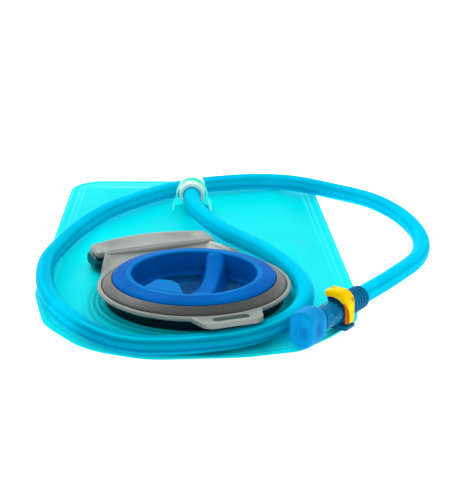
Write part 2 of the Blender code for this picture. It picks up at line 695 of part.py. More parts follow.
def bite_valve(valve):
    """Soft hollow mouthpiece with a slit through its front wall."""
    mouth = box("bite_valve", BITE_SIZE, (0.0, 0.0, BITE_BACK + BITE_SIZE[2] / 2.0), valve)
    bevel(mouth, 5.6, 4)
    cut(mouth, cylinder("bite_bore", 4.8, BITE_BACK - 1.0, 33.4, valve, segments=28))
    cut(mouth, box("bite_slit", (0.6, 8.0, 20.0), (0.0, 0.0, 40.0), valve))
    return finish(mouth, (0.0, 0.34, 0.78), 0.45)


# ---------------------------------------------------------------- assembly

clear_scene()
PARTS = new_collection("hydration_bladder")
CUTTERS = new_collection("cutters")

bag_outline = centred(even_loop(rounded(BAG_CORNERS, 6), OUTLINE_POINTS))
bag_back_film(bag_outline)
bag_front_film(bag_outline)

handle_axis = axis_empty("handle_axis", shift(*PORT) @ Matrix.Rotation(HANDLE_TURN, 4, "Z"))
cap_axis = axis_empty("cap_axis", shift(*PORT))
port_weld_flange(cap_axis)
port_neck(handle_axis)
handle_collar(handle_axis)
handle_grip_pad(handle_axis)
port_top_ring(handle_axis)
cap_gasket(cap_axis)
fill_cap(cap_axis)

exit_axis = axis_empty("exit_axis", shift(*EXIT))
exit_port_base(exit_axis)
exit_elbow(exit_axis)
elbow_o_ring(exit_axis)
connector_sleeve(exit_axis)

hose()

flow = Vector((-math.sin(VALVE_TURN), -math.cos(VALVE_TURN), 0.0))
upward = Vector((0.0, 0.0, 1.0))
valve_frame = Matrix((upward.cross(flow), upward, flow)).transposed().to_4x4()
valve_axis = axis_empty("valve_axis", shift(*VALVE) @ valve_frame)
strain_relief(valve_axis)
valve_barb(valve_axis)
valve_body(valve_axis)
valve_rotor(valve_axis)
o_ring("rotor_o_ring", 4.62, 0.35, 2.1, valve_axis)
shutoff_lever(valve_axis)
lever_pin(valve_axis)
valve_stem(valve_axis)
o_ring("stem_o_ring", 3.7, 0.33, 8.7, valve_axis)
bite_valve(valve_axis)
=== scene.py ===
"""Visual model of the hydration bladder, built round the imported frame.

Lengths in this file are millimetres in the frame's own axes, and MM turns them into metres.
The bag lies flat, +Z up; the hose leaves at the +Y end and the fill port is at the -Y end.
"""
import math

import bmesh
import bpy
import numpy
from mathutils import Matrix, Vector, noise


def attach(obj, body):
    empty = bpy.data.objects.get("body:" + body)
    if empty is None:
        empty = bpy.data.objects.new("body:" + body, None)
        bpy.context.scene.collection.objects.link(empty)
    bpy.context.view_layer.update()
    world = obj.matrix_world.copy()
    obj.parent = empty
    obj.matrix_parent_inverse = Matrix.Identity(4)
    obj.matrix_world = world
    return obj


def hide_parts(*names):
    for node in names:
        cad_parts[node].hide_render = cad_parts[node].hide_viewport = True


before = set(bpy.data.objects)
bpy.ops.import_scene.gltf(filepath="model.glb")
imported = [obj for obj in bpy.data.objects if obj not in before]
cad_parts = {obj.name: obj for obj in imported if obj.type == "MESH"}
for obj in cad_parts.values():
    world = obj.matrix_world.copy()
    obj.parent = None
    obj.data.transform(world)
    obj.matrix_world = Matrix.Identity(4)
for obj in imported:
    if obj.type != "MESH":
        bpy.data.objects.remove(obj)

MM = 0.001

# Camera: a pinhole level with the table's far edge, tilted down at the bag.
CAMERA_PLACE = (0.01586, -1.08511, 0.385)
CAMERA_TILT = math.radians(19.3)
CAMERA_LENS = 142.86

# Bag: corners of the outline as x, y and corner radius, anticlockwise from the back right.
BAG_CORNERS = [(70.5, 149.0, 24.0), (-81.5, 150.6, 20.0), (-88.8, -57.0, 45.0),
               (-80.5, -102.0, 45.0), (-57.0, -137.3, 50.0), (-24.0, -151.2, 40.0),
               (26.0, -147.8, 40.0), (54.0, -139.6, 14.0), (71.0, -119.5, 30.0),
               (85.5, -98.0, 30.0), (88.6, -66.0, 60.0)]
FILM = 0.5
FILM_DROP = 0.15
SEAM_TOP = 1.4
SEAM_WIDTH = 8.0
SWELL_WIDTH = 22.0
FRONT_HEIGHT = 8.2
BACK_HEIGHT = 5.2
GRID_AROUND = 360
GRID_ROWS = 100

# Fill port: radii about its axis, and heights above the ground.
PORT = (-0.5, -84.7)
HANDLE_TURN = math.radians(21.0)
FLANGE_RADIUS = 49.5
TENT_WIDTH = 8.0
UPSTAND_RADIUS = 42.6
NECK_RADIUS = 46.5
NECK_WINDOWS = 12
COLLAR_RADIUS = 51.7
WELL_RADIUS = 33.5
WELL_FLOOR = 10.5
CAP_TOP = 23.6
CAP_RADIUS = 43.6
SKIRT_RADIUS = 38.9
THREAD_LEAD = 12.0
TURN_STEPS = 160

# Exit port, where the hose leaves along -Y.
EXIT = (-4.3, 78.3, 15.0)
ELBOW_BACK = 14.0
HOOD_RADIUS = 9.6
HOOD_TALL = 9.0
HOOD_WALL = 0.9
HOOD_LEAN = math.radians(54.0)

# Hose: its route from the exit port to the strain relief.
HOSE_DIAMETER = 10.0
HOSE_BORE = 7.1
HOSE_ROUTE = [(-4.3, 78.0, 15.0), (-4.0, 66.3, 14.9), (-1.0, 48.8, 14.4), (8.7, 25.3, 13.7),
              (17.8, 7.8, 13.5), (28.5, -8.1, 13.6), (39.1, -24.7, 13.7), (48.1, -43.7, 13.7),
              (55.1, -64.2, 13.7), (58.1, -83.2, 13.4), (57.5, -100.2, 12.6),
              (52.5, -115.5, 11.3), (44.1, -127.1, 10.0), (33.5, -135.5, 8.6),
              (20.5, -142.3, 8.0), (4.0, -147.0, 7.8), (-12.0, -148.4, 7.3),
              (-27.5, -146.8, 6.8), (-41.0, -140.8, 7.0), (-54.6, -128.0, 7.6),
              (-69.0, -103.2, 7.2), (-78.8, -76.7, 7.0), (-83.7, -48.0, 7.0),
              (-84.0, -18.7, 7.0), (-77.8, 10.3, 7.1), (-68.8, 32.3, 9.2), (-55.2, 54.3, 11.6),
              (-41.5, 74.5, 11.2), (-28.0, 90.7, 10.8), (-11.0, 104.3, 10.7),
              (10.0, 113.5, 10.6), (34.5, 119.0, 10.4), (58.5, 120.4, 8.8),
              (82.0, 114.8, 5.8), (106.5, 95.8, 5.2), (122.5, 64.8, 5.2),
              (130.1, 26.3, 5.2), (126.0, -9.2, 5.3), (109.5, -48.0, 8.2), (87.5, -92.1, 12.4)]
HOSE_POINTS = 360
HOSE_SIDES = 64
SPIGOT_REACH = 7.4
RELIEF_REACH = 17.5

# Bite valve: +Z of its own frame runs along the water's way to the mouth, and +Y is up.
VALVE = (74.1, -112.2, 12.4)
VALVE_TURN = math.radians(33.7)
LEVER_BORE = 6.5
LEVER_LOW = -2.6
LEVER_HIGH = 5.2
PIN_ANGLE = math.radians(40.0)
PIN_STATION = -0.35
LINER_RADIUS = 8.9
DENT_ANGLE = math.radians(35.0)


# ---------------------------------------------------------------- helpers

def frames():
    """Frames of the handle, cap, exit port and valve, in millimetres."""
    port = Matrix.Translation((*PORT, 0.0))
    flow = Vector((-math.sin(VALVE_TURN), -math.cos(VALVE_TURN), 0.0))
    upward = Vector((0.0, 0.0, 1.0))
    turned_valve = Matrix((upward.cross(flow), upward, flow)).transposed().to_4x4()
    return (port @ Matrix.Rotation(HANDLE_TURN, 4, "Z"), port, Matrix.Translation(EXIT),
            Matrix.Translation(VALVE) @ turned_valve)


HANDLE_FRAME, CAP_FRAME, EXIT_FRAME, VALVE_FRAME = frames()


def shift(x=0.0, y=0.0, z=0.0):
    return Matrix.Translation((x, y, z))


def smooth_step(value):
    value = min(max(value, 0.0), 1.0)
    return value * value * (3.0 - 2.0 * value)


def build(name, bm, place=Matrix()):
    """Closes a bmesh in millimetres into an object in metres, in the given frame."""
    bmesh.ops.remove_doubles(bm, verts=bm.verts, dist=0.0005)
    bmesh.ops.recalc_face_normals(bm, faces=bm.faces)
    bm.transform(Matrix.Scale(MM, 4) @ place)
    mesh = bpy.data.meshes.new(name)
    bm.to_mesh(mesh)
    bm.free()
    obj = bpy.data.objects.new(name, mesh)
    bpy.context.scene.collection.objects.link(obj)
    return obj


def bake(obj):
    """Turns the modifiers into plain mesh."""
    bpy.context.view_layer.update()
    graph = bpy.context.evaluated_depsgraph_get()
    mesh = bpy.data.meshes.new_from_object(obj.evaluated_get(graph))
    obj.modifiers.clear()
    obj.data = mesh


def boolean(target, tool, operation="DIFFERENCE"):
    modifier = target.modifiers.new("Boolean", "BOOLEAN")
    modifier.operation = operation
    modifier.object = tool
    modifier.solver = "EXACT"
    bake(target)
    bpy.data.objects.remove(tool, do_unlink=True)


def bevel(obj, width, segments=3, angle=35.0):
    modifier = obj.modifiers.new("Bevel", "BEVEL")
    modifier.width = width * MM
    modifier.segments = segments
    modifier.limit_method = "ANGLE"
    modifier.angle_limit = math.radians(angle)
    bake(obj)


def inset_flats(obj, width=0.35):
    """Frames each large flat face, so that the edge wear and painted highlight stay at its edges."""
    bm = bmesh.new()
    bm.from_mesh(obj.data)
    flats = [face for face in bm.faces if len(face.verts) > 6]
    bmesh.ops.inset_individual(bm, faces=flats, thickness=width * MM)
    bm.to_mesh(obj.data)
    bm.free()


def join(target, others):
    """Puts the meshes of others into target as further closed shells."""
    bm = bmesh.new()
    bm.from_mesh(target.data)
    for other in others:
        bm.from_mesh(other.data)
        bpy.data.objects.remove(other, do_unlink=True)
    bm.to_mesh(target.data)
    bm.free()


def loft(bm, loops, around=True, ends=True):
    """Joins loops of points with quads, and closes the first and last with a face each."""
    rows = [[bm.verts.new(point) for point in loop] for loop in loops]
    count = len(rows[0])
    for first, second in zip(rows, rows[1:]):
        for i in range(count if around else count - 1):
            j = (i + 1) % count
            bm.faces.new((first[i], first[j], second[j], second[i]))
    if ends:
        bm.faces.new(rows[0])
        bm.faces.new(rows[-1])


def turned(name, profile, place, steps=TURN_STEPS, closed=True):
    """Turns a profile of (radius, height) about Z."""
    bm = bmesh.new()
    points = profile + profile[:1] if closed else profile
    rings = []
    for radius, height in points:
        rings.append([(radius * math.cos(math.tau * i / steps),
                       radius * math.sin(math.tau * i / steps), height) for i in range(steps)])
    loft(bm, rings, ends=False)
    return build(name, bm, place)


def prism(name, outline, low, high, place):
    bm = bmesh.new()
    loft(bm, [[(x, y, z) for x, y in outline] for z in (low, high)])
    return build(name, bm, place)


def cylinder(name, radius, low, high, place, steps=48):
    return prism(name, arc((0.0, 0.0), radius, 0.0, 360.0 - 360.0 / steps, steps - 1), low, high,
                 place)


def box(name, size, centre, place):
    x, y, z = (side / 2.0 for side in size)
    return prism(name, [(-x, -y), (x, -y), (x, y), (-x, y)], -z, z, place @ shift(*centre))


def ball(name, centre, radii, place, steps=32):
    bm = bmesh.new()
    size = Matrix.Diagonal((*radii, 1.0))
    bmesh.ops.create_uvsphere(bm, u_segments=steps, v_segments=steps // 2, radius=1.0,
                              matrix=shift(*centre) @ size)
    return build(name, bm, place)


def arc(centre, radius, start, end, steps):
    """Points on an arc, its angles in degrees."""
    angles = [math.radians(start + (end - start) * i / steps) for i in range(steps + 1)]
    return [(centre[0] + radius * math.cos(a), centre[1] + radius * math.sin(a))
            for a in angles]


def rounded(corners, steps=5):
    """Rounds each corner (x, y, radius) of a closed outline."""
    points = []
    for index, (x, y, radius) in enumerate(corners):
        corner = Vector((x, y))
        before = (Vector(corners[index - 1][:2]) - corner).normalized()
        after = (Vector(corners[(index + 1) % len(corners)][:2]) - corner).normalized()
        half = before.angle(after) / 2.0
        centre = corner + (before + after).normalized() * radius / math.sin(half)
        start = corner + before * radius / math.tan(half) - centre
        sweep = math.pi - 2.0 * half
        turn = 1.0 if before.x * after.y - before.y * after.x < 0.0 else -1.0
        for step in range(steps + 1):
            arm = Matrix.Rotation(turn * sweep * step / steps, 2) @ start
            points.append((centre.x + arm.x, centre.y + arm.y))
    return points


def power(value, exponent):
    """Signed power, which squares off a circle into a superellipse."""
    return math.copysign(abs(value) ** exponent, value)


def show(obj, body, materials, nodes=(), angle=40.0):
    """Gives a piece its body, material slot and finish, and hides the CAD nodes it stands for."""
    obj.data.materials.clear()
    for material in materials:
        obj.data.materials.append(material)
    obj.data.shade_smooth()
    obj.data.set_sharp_from_angle(angle=math.radians(angle))
    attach(obj, body)
    if nodes:
        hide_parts(*nodes)
    return obj


# ---------------------------------------------------------------- materials

def add(tree, kind, **values):
    node = tree.nodes.new(kind)
    for name, value in values.items():
        if name in node.inputs:
            node.inputs[name].default_value = value
        else:
            setattr(node, name, value)
    return node


def noise_node(tree, size, detail=3.0):
    """Noise in the object's own space, with features about size millimetres across."""
    place = add(tree, "ShaderNodeTexCoord")
    texture = add(tree, "ShaderNodeTexNoise", Scale=1.0 / (size * MM), Detail=detail)
    tree.links.new(place.outputs["Object"], texture.inputs["Vector"])
    return texture.outputs["Fac"]


def ramp(tree, source, low, high):
    node = add(tree, "ShaderNodeMapRange", interpolation_type="SMOOTHSTEP")
    node.inputs["From Min"].default_value = low
    node.inputs["From Max"].default_value = high
    tree.links.new(source, node.inputs["Value"])
    return node.outputs["Result"]


def mix(tree, factor, first, second):
    """Mixes two colours, either of which may be another node's output."""
    node = add(tree, "ShaderNodeMix", data_type="RGBA")
    tree.links.new(factor, node.inputs["Factor"])
    for socket, colour in ((node.inputs[6], first), (node.inputs[7], second)):
        if isinstance(colour, tuple):
            socket.default_value = (*colour, 1.0)
        else:
            tree.links.new(colour, socket)
    return node.outputs[2]


def finish(name, dark, light, roughness, mottle=18.0, grain=0.8, depth=0.02, wear_and_highlight=None,
           specks=None, marks=None, **sockets):
    """A moulded plastic or film: mottled colour, fine grain, uneven gloss, and edges lightened by
    wear and by a painted highlight.

    dark and light are the colour's two ends, roughness its range, and depth the grain's height.
    marks is a list of (attribute, colour) painted on the mesh; several of them are painted shade or
    painted highlight.
    """
    material = bpy.data.materials.new(name)
    material.use_nodes = True
    tree = material.node_tree
    shader = tree.nodes["Principled BSDF"]
    for socket, value in sockets.items():
        shader.inputs[socket.replace("_", " ")].default_value = value
    colour = mix(tree, ramp(tree, noise_node(tree, mottle), 0.3, 0.7), dark, light)
    if specks:
        spots = ramp(tree, noise_node(tree, 1.6, 1.0), 0.735, 0.79)
        colour = mix(tree, spots, colour, specks)
    # Edge colour: convex edges, found by pointiness, are lightened both as wear and as a painted
    # highlight.
    if wear_and_highlight:
        edge = add(tree, "ShaderNodeNewGeometry").outputs["Pointiness"]
        colour = mix(tree, ramp(tree, edge, 0.53, 0.62), colour, wear_and_highlight)
    for attribute, tint in marks or []:
        painted = add(tree, "ShaderNodeAttribute", attribute_name=attribute)
        colour = mix(tree, painted.outputs["Fac"], colour, tint)
    tree.links.new(colour, shader.inputs["Base Color"])
    gloss = add(tree, "ShaderNodeMapRange")
    gloss.inputs["To Min"].default_value = roughness[0]
    gloss.inputs["To Max"].default_value = roughness[1]
    tree.links.new(noise_node(tree, mottle * 0.4), gloss.inputs["Value"])
    tree.links.new(gloss.outputs["Result"], shader.inputs["Roughness"])
    bump = add(tree, "ShaderNodeBump", Strength=1.0, Distance=depth * MM)
    tree.links.new(noise_node(tree, grain, 2.0), bump.inputs["Height"])
    tree.links.new(bump.outputs["Normal"], shader.inputs["Normal"])
    return material


def make_materials():
    return {
        "film": finish("film", (0.0, 0.69, 0.75), (0.0, 0.75, 0.80), (0.22, 0.38), 60.0, 14.0, 0.25,
                       # The weld mark is painted shade: the film is darkened in rings round the port,
                       # most on its front-left side.
                       marks=[("weld", (0.0, 0.34, 0.42)), ("seam", (0.14, 0.90, 0.92))],
                       Specular_IOR_Level=0.005),
        "back film": finish("back film", (0.0, 0.58, 0.64), (0.0, 0.66, 0.71), (0.25, 0.4), 60.0,
                            14.0, 0.2, Specular_IOR_Level=0.005),
        # Hose marks are painted light: painted shade in front of the port and along two dark lines,
        # and a painted highlight along the upper side.
        "hose": finish("hose clear", (0.0, 0.60, 0.86), (0.0, 0.67, 0.91), (0.10, 0.18), 30.0, 5.0,
                       0.02, specks=(0.0, 0.16, 0.30), marks=[("hose_painted_shade", (0.0, 0.20, 0.36)),
                                                        ("hose_painted_highlight", (0.0, 0.78, 0.98))],
                       Transmission_Weight=0.20, IOR=1.04, Specular_IOR_Level=0.01),
        "collar": finish("collar grey", (0.175, 0.205, 0.188), (0.235, 0.27, 0.25), (0.3, 0.42),
                         26.0, 0.5, 0.03, wear_and_highlight=(0.33, 0.37, 0.335), Specular_IOR_Level=0.5),
        # Painted shade: the bar's underside, painted dark teal as if shaded and lit by the bag.
        "grip": finish("grip teal shade", (0.0, 0.06, 0.075), (0.0, 0.11, 0.13), (0.25, 0.4), 12.0, 0.6,
                       0.03, wear_and_highlight=(0.0, 0.22, 0.26), Specular_IOR_Level=0.1),
        "bezel": finish("bezel grain", (0.006, 0.012, 0.008), (0.024, 0.034, 0.028), (0.30, 0.42),
                        1.0, 0.42, 0.05, wear_and_highlight=(0.12, 0.14, 0.13), Specular_IOR_Level=0.7),
        # Painted shade: the neck is the collar's plastic in shade, painted near-black teal with the
        # bag's reflection.
        "neck": finish("neck shade", (0.0, 0.012, 0.018), (0.0, 0.026, 0.036), (0.25, 0.4), 14.0,
                       1.0, 0.02, wear_and_highlight=(0.0, 0.08, 0.11), Specular_IOR_Level=0.05),
        "cap": finish("cap blue", (0.0, 0.105, 0.43), (0.0, 0.135, 0.51), (0.3, 0.42), 22.0, 0.9,
                      0.02, Specular_IOR_Level=0.005),
        # Painted highlight: the top of the well's rim is a lighter blue.
        "cap rim highlight": finish("cap rim highlight blue", (0.0, 0.165, 0.52), (0.0, 0.200, 0.60), (0.3, 0.42), 22.0,
                          0.9, 0.02, Specular_IOR_Level=0.005),
        # Painted shade: the well's floor is a darker blue, as at the bottom of a recess, with its own
        # grain.
        "cap floor shade": finish("cap floor shade grain", (0.0, 0.040, 0.16), (0.0, 0.075, 0.22), (0.4, 0.6),
                            5.0, 0.5, 0.06, Specular_IOR_Level=0.02),
        "flange": finish("flange teal", (0.0, 0.40, 0.45), (0.0, 0.50, 0.55), (0.3, 0.4), 16.0),
        "rubber": finish("black rubber", (0.012, 0.012, 0.014), (0.03, 0.03, 0.033), (0.5, 0.7),
                         6.0, 0.4, 0.03),
        # Painted light: the arch glows faintly so that it looks lit through, and its pale edge colour
        # is mostly a painted highlight.
        "arch": finish("exit port green glow", (0.04, 0.84, 0.62), (0.10, 0.92, 0.70), (0.12, 0.2), 8.0,
                       0.8, 0.01, wear_and_highlight=(0.80, 0.97, 0.85), Emission_Color=(0.02, 0.50, 0.36, 1.0),
                       Emission_Strength=0.35, Specular_IOR_Level=0.05),
        # Painted light: the plate glows faintly so that it looks lit through.
        "plate": finish("exit plate clear glow", (0.0, 0.80, 0.82), (0.0, 0.88, 0.88), (0.12, 0.2), 8.0,
                        0.8, 0.01, Emission_Color=(0.0, 0.45, 0.46, 1.0), Emission_Strength=0.3,
                        Specular_IOR_Level=0.02),
        "elbow": finish("elbow clear", (0.62, 0.80, 0.80), (0.74, 0.88, 0.87), (0.2, 0.3), 8.0),
        "sleeve": finish("sleeve milky", (0.74, 0.90, 0.87), (0.86, 0.96, 0.92), (0.3, 0.42), 7.0,
                         0.5, 0.03, wear_and_highlight=(0.94, 0.97, 0.95), Specular_IOR_Level=0.2),
        # The relief's pale edge colour is mostly a painted highlight on its ribs.
        "relief": finish("relief rubber", (0.0, 0.11, 0.26), (0.0, 0.15, 0.33), (0.38, 0.5), 6.0,
                         0.5, 0.03, wear_and_highlight=(0.0, 0.48, 0.62), Specular_IOR_Level=0.03),
        "housing": finish("housing dark blue", (0.0, 0.030, 0.095), (0.0, 0.048, 0.130),
                          (0.3, 0.42), 7.0, 0.5, 0.02, wear_and_highlight=(0.0, 0.14, 0.26),
                          Specular_IOR_Level=0.06),
        "white": finish("inner white", (0.62, 0.66, 0.66), (0.74, 0.77, 0.76), (0.3, 0.42), 5.0),
        "lever": finish("lever yellow", (1.0, 0.60, 0.0), (1.0, 0.67, 0.0), (0.32, 0.44), 6.0,
                        0.5, 0.02, wear_and_highlight=(1.0, 0.70, 0.10), Specular_IOR_Level=0.02),
        # Painted highlight: the bottoms of the grooves between the ribs are a lighter blue.
        "groove": finish("relief groove", (0.0, 0.30, 0.46), (0.0, 0.38, 0.54), (0.38, 0.5), 6.0,
                         0.5, 0.03, Specular_IOR_Level=0.03),
        # Painted shade: the scoop on the arm's front face is an orange, shaded copy of the yellow.
        "scoop": finish("lever orange shade", (0.86, 0.17, 0.0), (0.95, 0.24, 0.0), (0.4, 0.5), 5.0,
                        0.5, 0.02, Specular_IOR_Level=0.02),
        "steel": finish("pin steel", (0.50, 0.50, 0.50), (0.66, 0.66, 0.65), (0.2, 0.34), 1.0,
                        0.2, 0.01, Metallic=1.0),
        "stem": finish("stem blue", (0.0, 0.150, 0.34), (0.0, 0.195, 0.40), (0.2, 0.32), 7.0, 0.6,
                       0.02, wear_and_highlight=(0.0, 0.28, 0.48), Specular_IOR_Level=0.05),
        "silicone": finish("bite silicone", (0.0, 0.255, 0.60), (0.0, 0.31, 0.69), (0.38, 0.5),
                           # Painted shade: the mouthpiece's dimples are a darker blue.
                           9.0, 0.5, 0.04, marks=[("dimple", (0.0, 0.17, 0.46))],
                           Specular_IOR_Level=0.02, Sheen_Weight=0.02),
        "floor": finish("table white", (0.93, 0.93, 0.93), (0.95, 0.95, 0.95), (0.9, 1.0), 90.0,
                        2.0, 0.02, Specular_IOR_Level=0.0, Emission_Color=(1.0, 1.0, 1.0, 1.0),
                        Emission_Strength=0.7),
    }


# ---------------------------------------------------------------- hose

def smooth_route(route, count):
    """Reads count points at equal spacing from a smooth curve through the route's points."""
    ends = [2.0 * route[0] - route[1], *route, 2.0 * route[-1] - route[-2]]
    fine = []
    for a, b, c, d in zip(ends, ends[1:], ends[2:], ends[3:]):
        for step in range(12):
            t = step / 12.0
            fine.append(0.5 * ((2.0 * b) + (c - a) * t + (2.0 * a - 5.0 * b + 4.0 * c - d) * t * t
                               + (3.0 * b - a - 3.0 * c + d) * t * t * t))
    fine.append(route[-1])
    lengths = [0.0]
    for first, second in zip(fine, fine[1:]):
        lengths.append(lengths[-1] + (second - first).length)
    points = []
    index = 0
    for i in range(count):
        wanted = lengths[-1] * i / (count - 1)
        while index < len(fine) - 2 and lengths[index + 1] < wanted:
            index += 1
        part = (wanted - lengths[index]) / (lengths[index + 1] - lengths[index])
        points.append(fine[index].lerp(fine[index + 1], min(part, 1.0)))
    return points


def hose_line():
    """Centreline of the hose, from over the spigot to inside the strain relief."""
    flow = Vector((-math.sin(VALVE_TURN), -math.cos(VALVE_TURN), 0.0))
    middle = smooth_route([Vector(point) for point in HOSE_ROUTE], HOSE_POINTS)
    start = [middle[0] + Vector((0.0, SPIGOT_REACH * part, 0.0)) for part in (1.0, 0.66, 0.33)]
    end = [middle[-1] + flow * RELIEF_REACH * part for part in (0.2, 0.4, 0.6, 0.8, 1.0)]
    return start + middle + end


def hose_frames(line):
    """A side and an upward direction at each point, carried along without twist."""
    side = Vector((1.0, 0.0, 0.0))
    result = []
    for index, point in enumerate(line):
        ahead = (line[min(index + 1, len(line) - 1)] - line[max(index - 1, 0)]).normalized()
        side = (side - ahead * side.dot(ahead)).normalized()
        result.append((point, side, ahead.cross(side)))
    return result


def line_at(value, middle, width):
    """A soft line along one value, 1 at its middle."""
    return math.exp(-((value - middle) / width) ** 2)


def hose(materials):
    """Clear tube with its bore; the wall is the hose's own."""
    line = hose_line()
    stations = hose_frames(line)
    bm = bmesh.new()
    bm.verts.layers.float.new("hose_painted_shade")
    bm.verts.layers.float.new("hose_painted_highlight")
    hose_painted_shade = bm.verts.layers.float["hose_painted_shade"]
    hose_painted_highlight = bm.verts.layers.float["hose_painted_highlight"]
    walls = []
    for radius in (HOSE_DIAMETER / 2.0, HOSE_BORE / 2.0):
        rows = []
        for point, side, up in stations:
            row = []
            # Painted shade: the hose is darkened in front of the port and along the bag's left side.
            shade = 0.8 * smooth_step((-112.0 - point.y) / 22.0)
            shade += 0.25 * smooth_step((-70.0 - point.x) / 6.0) * (1.0 - shade)
            for i in range(HOSE_SIDES):
                angle = math.tau * i / HOSE_SIDES
                outward = side * math.cos(angle) + up * math.sin(angle)
                vert = bm.verts.new(point + outward * radius)
                # Painted shade: two dark lines along the tube stand in for the look of its bore.
                lines = 0.30 * line_at(outward.z, 0.52, 0.10) + 0.45 * line_at(outward.z, -0.30, 0.22)
                vert[hose_painted_shade] = min(1.0, shade * 0.75 + lines)
                # Painted highlight: a pale line along the upper side of the tube, strongest in front
                # of the port.
                vert[hose_painted_highlight] = (0.25 + 0.75 * shade) * line_at(outward.z, 0.86, 0.07)
                row.append(vert)
            rows.append(row)
        walls.append(rows)
    outer, inner = walls
    pairs = list(zip(outer, outer[1:])) + list(zip(inner, inner[1:]))
    pairs += [(outer[0], inner[0]), (outer[-1], inner[-1])]
    for first, second in pairs:
        for i in range(HOSE_SIDES):
            j = (i + 1) % HOSE_SIDES
            bm.faces.new((first[i], first[j], second[j], second[i]))
    tube = build("hose_tube", bm)
    show(tube, "root", [materials["hose"]], ["hose"])
    tube.visible_shadow = False
    return tube, line


# ---------------------------------------------------------------- bag

def even_loop(points, count):
    """Walks a closed outline and returns count points at equal distances along it."""
    loop = [Vector(point) for point in points]
    loop.append(loop[0])
    lengths = [(second - first).length for first, second in zip(loop, loop[1:])]
    step = sum(lengths) / count
    even = []
    travelled = 0.0
    for first, second, length in zip(loop, loop[1:], lengths):
        while len(even) < count and len(even) * step < travelled + length:
            even.append(first.lerp(second, (len(even) * step - travelled) / length))
        travelled += length
    return even


def bag_outline():
    """Outline of the bag as an array, its box centred on the origin."""
    loop = numpy.array(even_loop(rounded(BAG_CORNERS, 10), GRID_AROUND))
    return loop - (loop.min(axis=0) + loop.max(axis=0)) / 2.0


def edge_distances(points, outline):
    """Distance of each point to the bag's outline."""
    nearest = numpy.full(len(points), 1000.0)
    for first, second in zip(outline, numpy.roll(outline, -1, axis=0)):
        side = second - first
        along = numpy.clip((points - first) @ side / (side @ side), 0.0, 1.0)
        gap = points - first - along[:, None] * side
        nearest = numpy.minimum(nearest, numpy.hypot(gap[:, 0], gap[:, 1]))
    return nearest


def smooth(values):
    values = numpy.clip(values, 0.0, 1.0)
    return values * values * (3.0 - 2.0 * values)


def ridge(values, middle, width):
    """A soft line along one value, 1 at its middle."""
    return numpy.exp(-((values - middle) / width) ** 2)


def grid(outline, inner_radius):
    """Points from the outline in to a circle about the port, row by row."""
    centre = numpy.array(PORT)
    arms = outline - centre
    reach = numpy.hypot(arms[:, 0], arms[:, 1])
    inner = centre + arms / reach[:, None] * inner_radius
    rows = []
    for row in range(GRID_ROWS + 1):
        part = row / GRID_ROWS
        part -= 0.65 * math.sin(math.tau * part) / math.tau
        rows.append(outline + (inner - outline) * part)
    return rows


def sheet_mesh(name, outline, inner_radius, height):
    """A film as a fine grid; height gives each point's height and painted marks."""
    rows = grid(outline, inner_radius)
    points = numpy.concatenate(rows)
    heights, marks = height(points, edge_distances(points, outline))
    bm = bmesh.new()
    for key in marks:
        bm.verts.layers.float.new(key)
    verts = [bm.verts.new((x, y, z)) for (x, y), z in zip(points, heights)]
    for key in marks:
        layer = bm.verts.layers.float[key]
        for vert, value in zip(verts, marks[key]):
            vert[layer] = float(value)
    for row in range(GRID_ROWS):
        for i in range(GRID_AROUND):
            j = (i + 1) % GRID_AROUND
            low = row * GRID_AROUND
            high = low + GRID_AROUND
            bm.faces.new((verts[low + i], verts[low + j], verts[high + j], verts[high + i]))
    return bm, verts


def front_height(points, distance):
    """Front film: flat seam with pressed lines, swollen middle, tent and weld rings at the port."""
    fall = smooth((points[:, 1] + 15.0) / 110.0)
    plateau = FRONT_HEIGHT + (BACK_HEIGHT - FRONT_HEIGHT) * fall
    swell = smooth((distance - SEAM_WIDTH) / SWELL_WIDTH) * (plateau - SEAM_TOP)
    from_port = numpy.hypot(points[:, 0] - PORT[0], points[:, 1] - PORT[1])
    tent_edge = FLANGE_RADIUS + 2.5 + TENT_WIDTH
    tent = smooth((tent_edge - from_port) / TENT_WIDTH) * (FRONT_HEIGHT - SEAM_TOP)
    heights = SEAM_TOP + numpy.maximum(swell, tent) - FILM_DROP
    lines = ridge(distance, 1.6, 0.55) + ridge(distance, 5.6, 0.6) + ridge(distance, 8.6, 0.5)
    heights -= 0.28 * smooth((SEAM_WIDTH - distance) / 3.0)
    heights += 0.14 * lines
    inside = smooth((distance - 12.0) / 20.0) * smooth((from_port - 62.0) / 20.0)
    waves = numpy.array([noise.fractal((x * 0.016, y * 0.011, 3.0), 0.9, 2.1, 3)
                         for x, y in points])
    heights -= inside * (0.30 + 0.45 * waves)
    rings = numpy.cos((from_port - 48.8) * math.tau / 3.1)
    weld = smooth((from_port - 48.0) / 2.0) * smooth((62.0 - from_port) / 10.0)
    heights += 0.09 * rings * weld - 0.09 * weld
    # Painted shade and painted reflection of the dark neck: the weld mark darkens the film round the
    # port, in rings and most on its front-left side.
    side = numpy.clip(-(points[:, 0] - PORT[0]) / 52.0 * 0.6
                      - (points[:, 1] - PORT[1]) / 52.0 * 0.8, 0.0, 1.0)
    marks = {"weld": numpy.clip(1.1 * weld * (0.40 - 0.60 * rings) * side + 0.35 * weld, 0, 1),
             "seam": numpy.clip(lines * (0.18 + 0.35 * smooth((points[:, 1] - 60.0) / 80.0)), 0, 1)}
    return heights, marks


def back_height(points, distance):
    """Back film: flat on the table, with the same pressed lines along its seam."""
    lines = ridge(distance, 1.6, 0.55) + ridge(distance, 5.6, 0.6)
    return numpy.full(len(points), FILM) - 0.06 * lines, {}


def thicken(obj, thickness):
    shell = obj.modifiers.new("Solidify", "SOLIDIFY")
    shell.thickness = thickness * MM
    shell.offset = -1.0
    bake(obj)


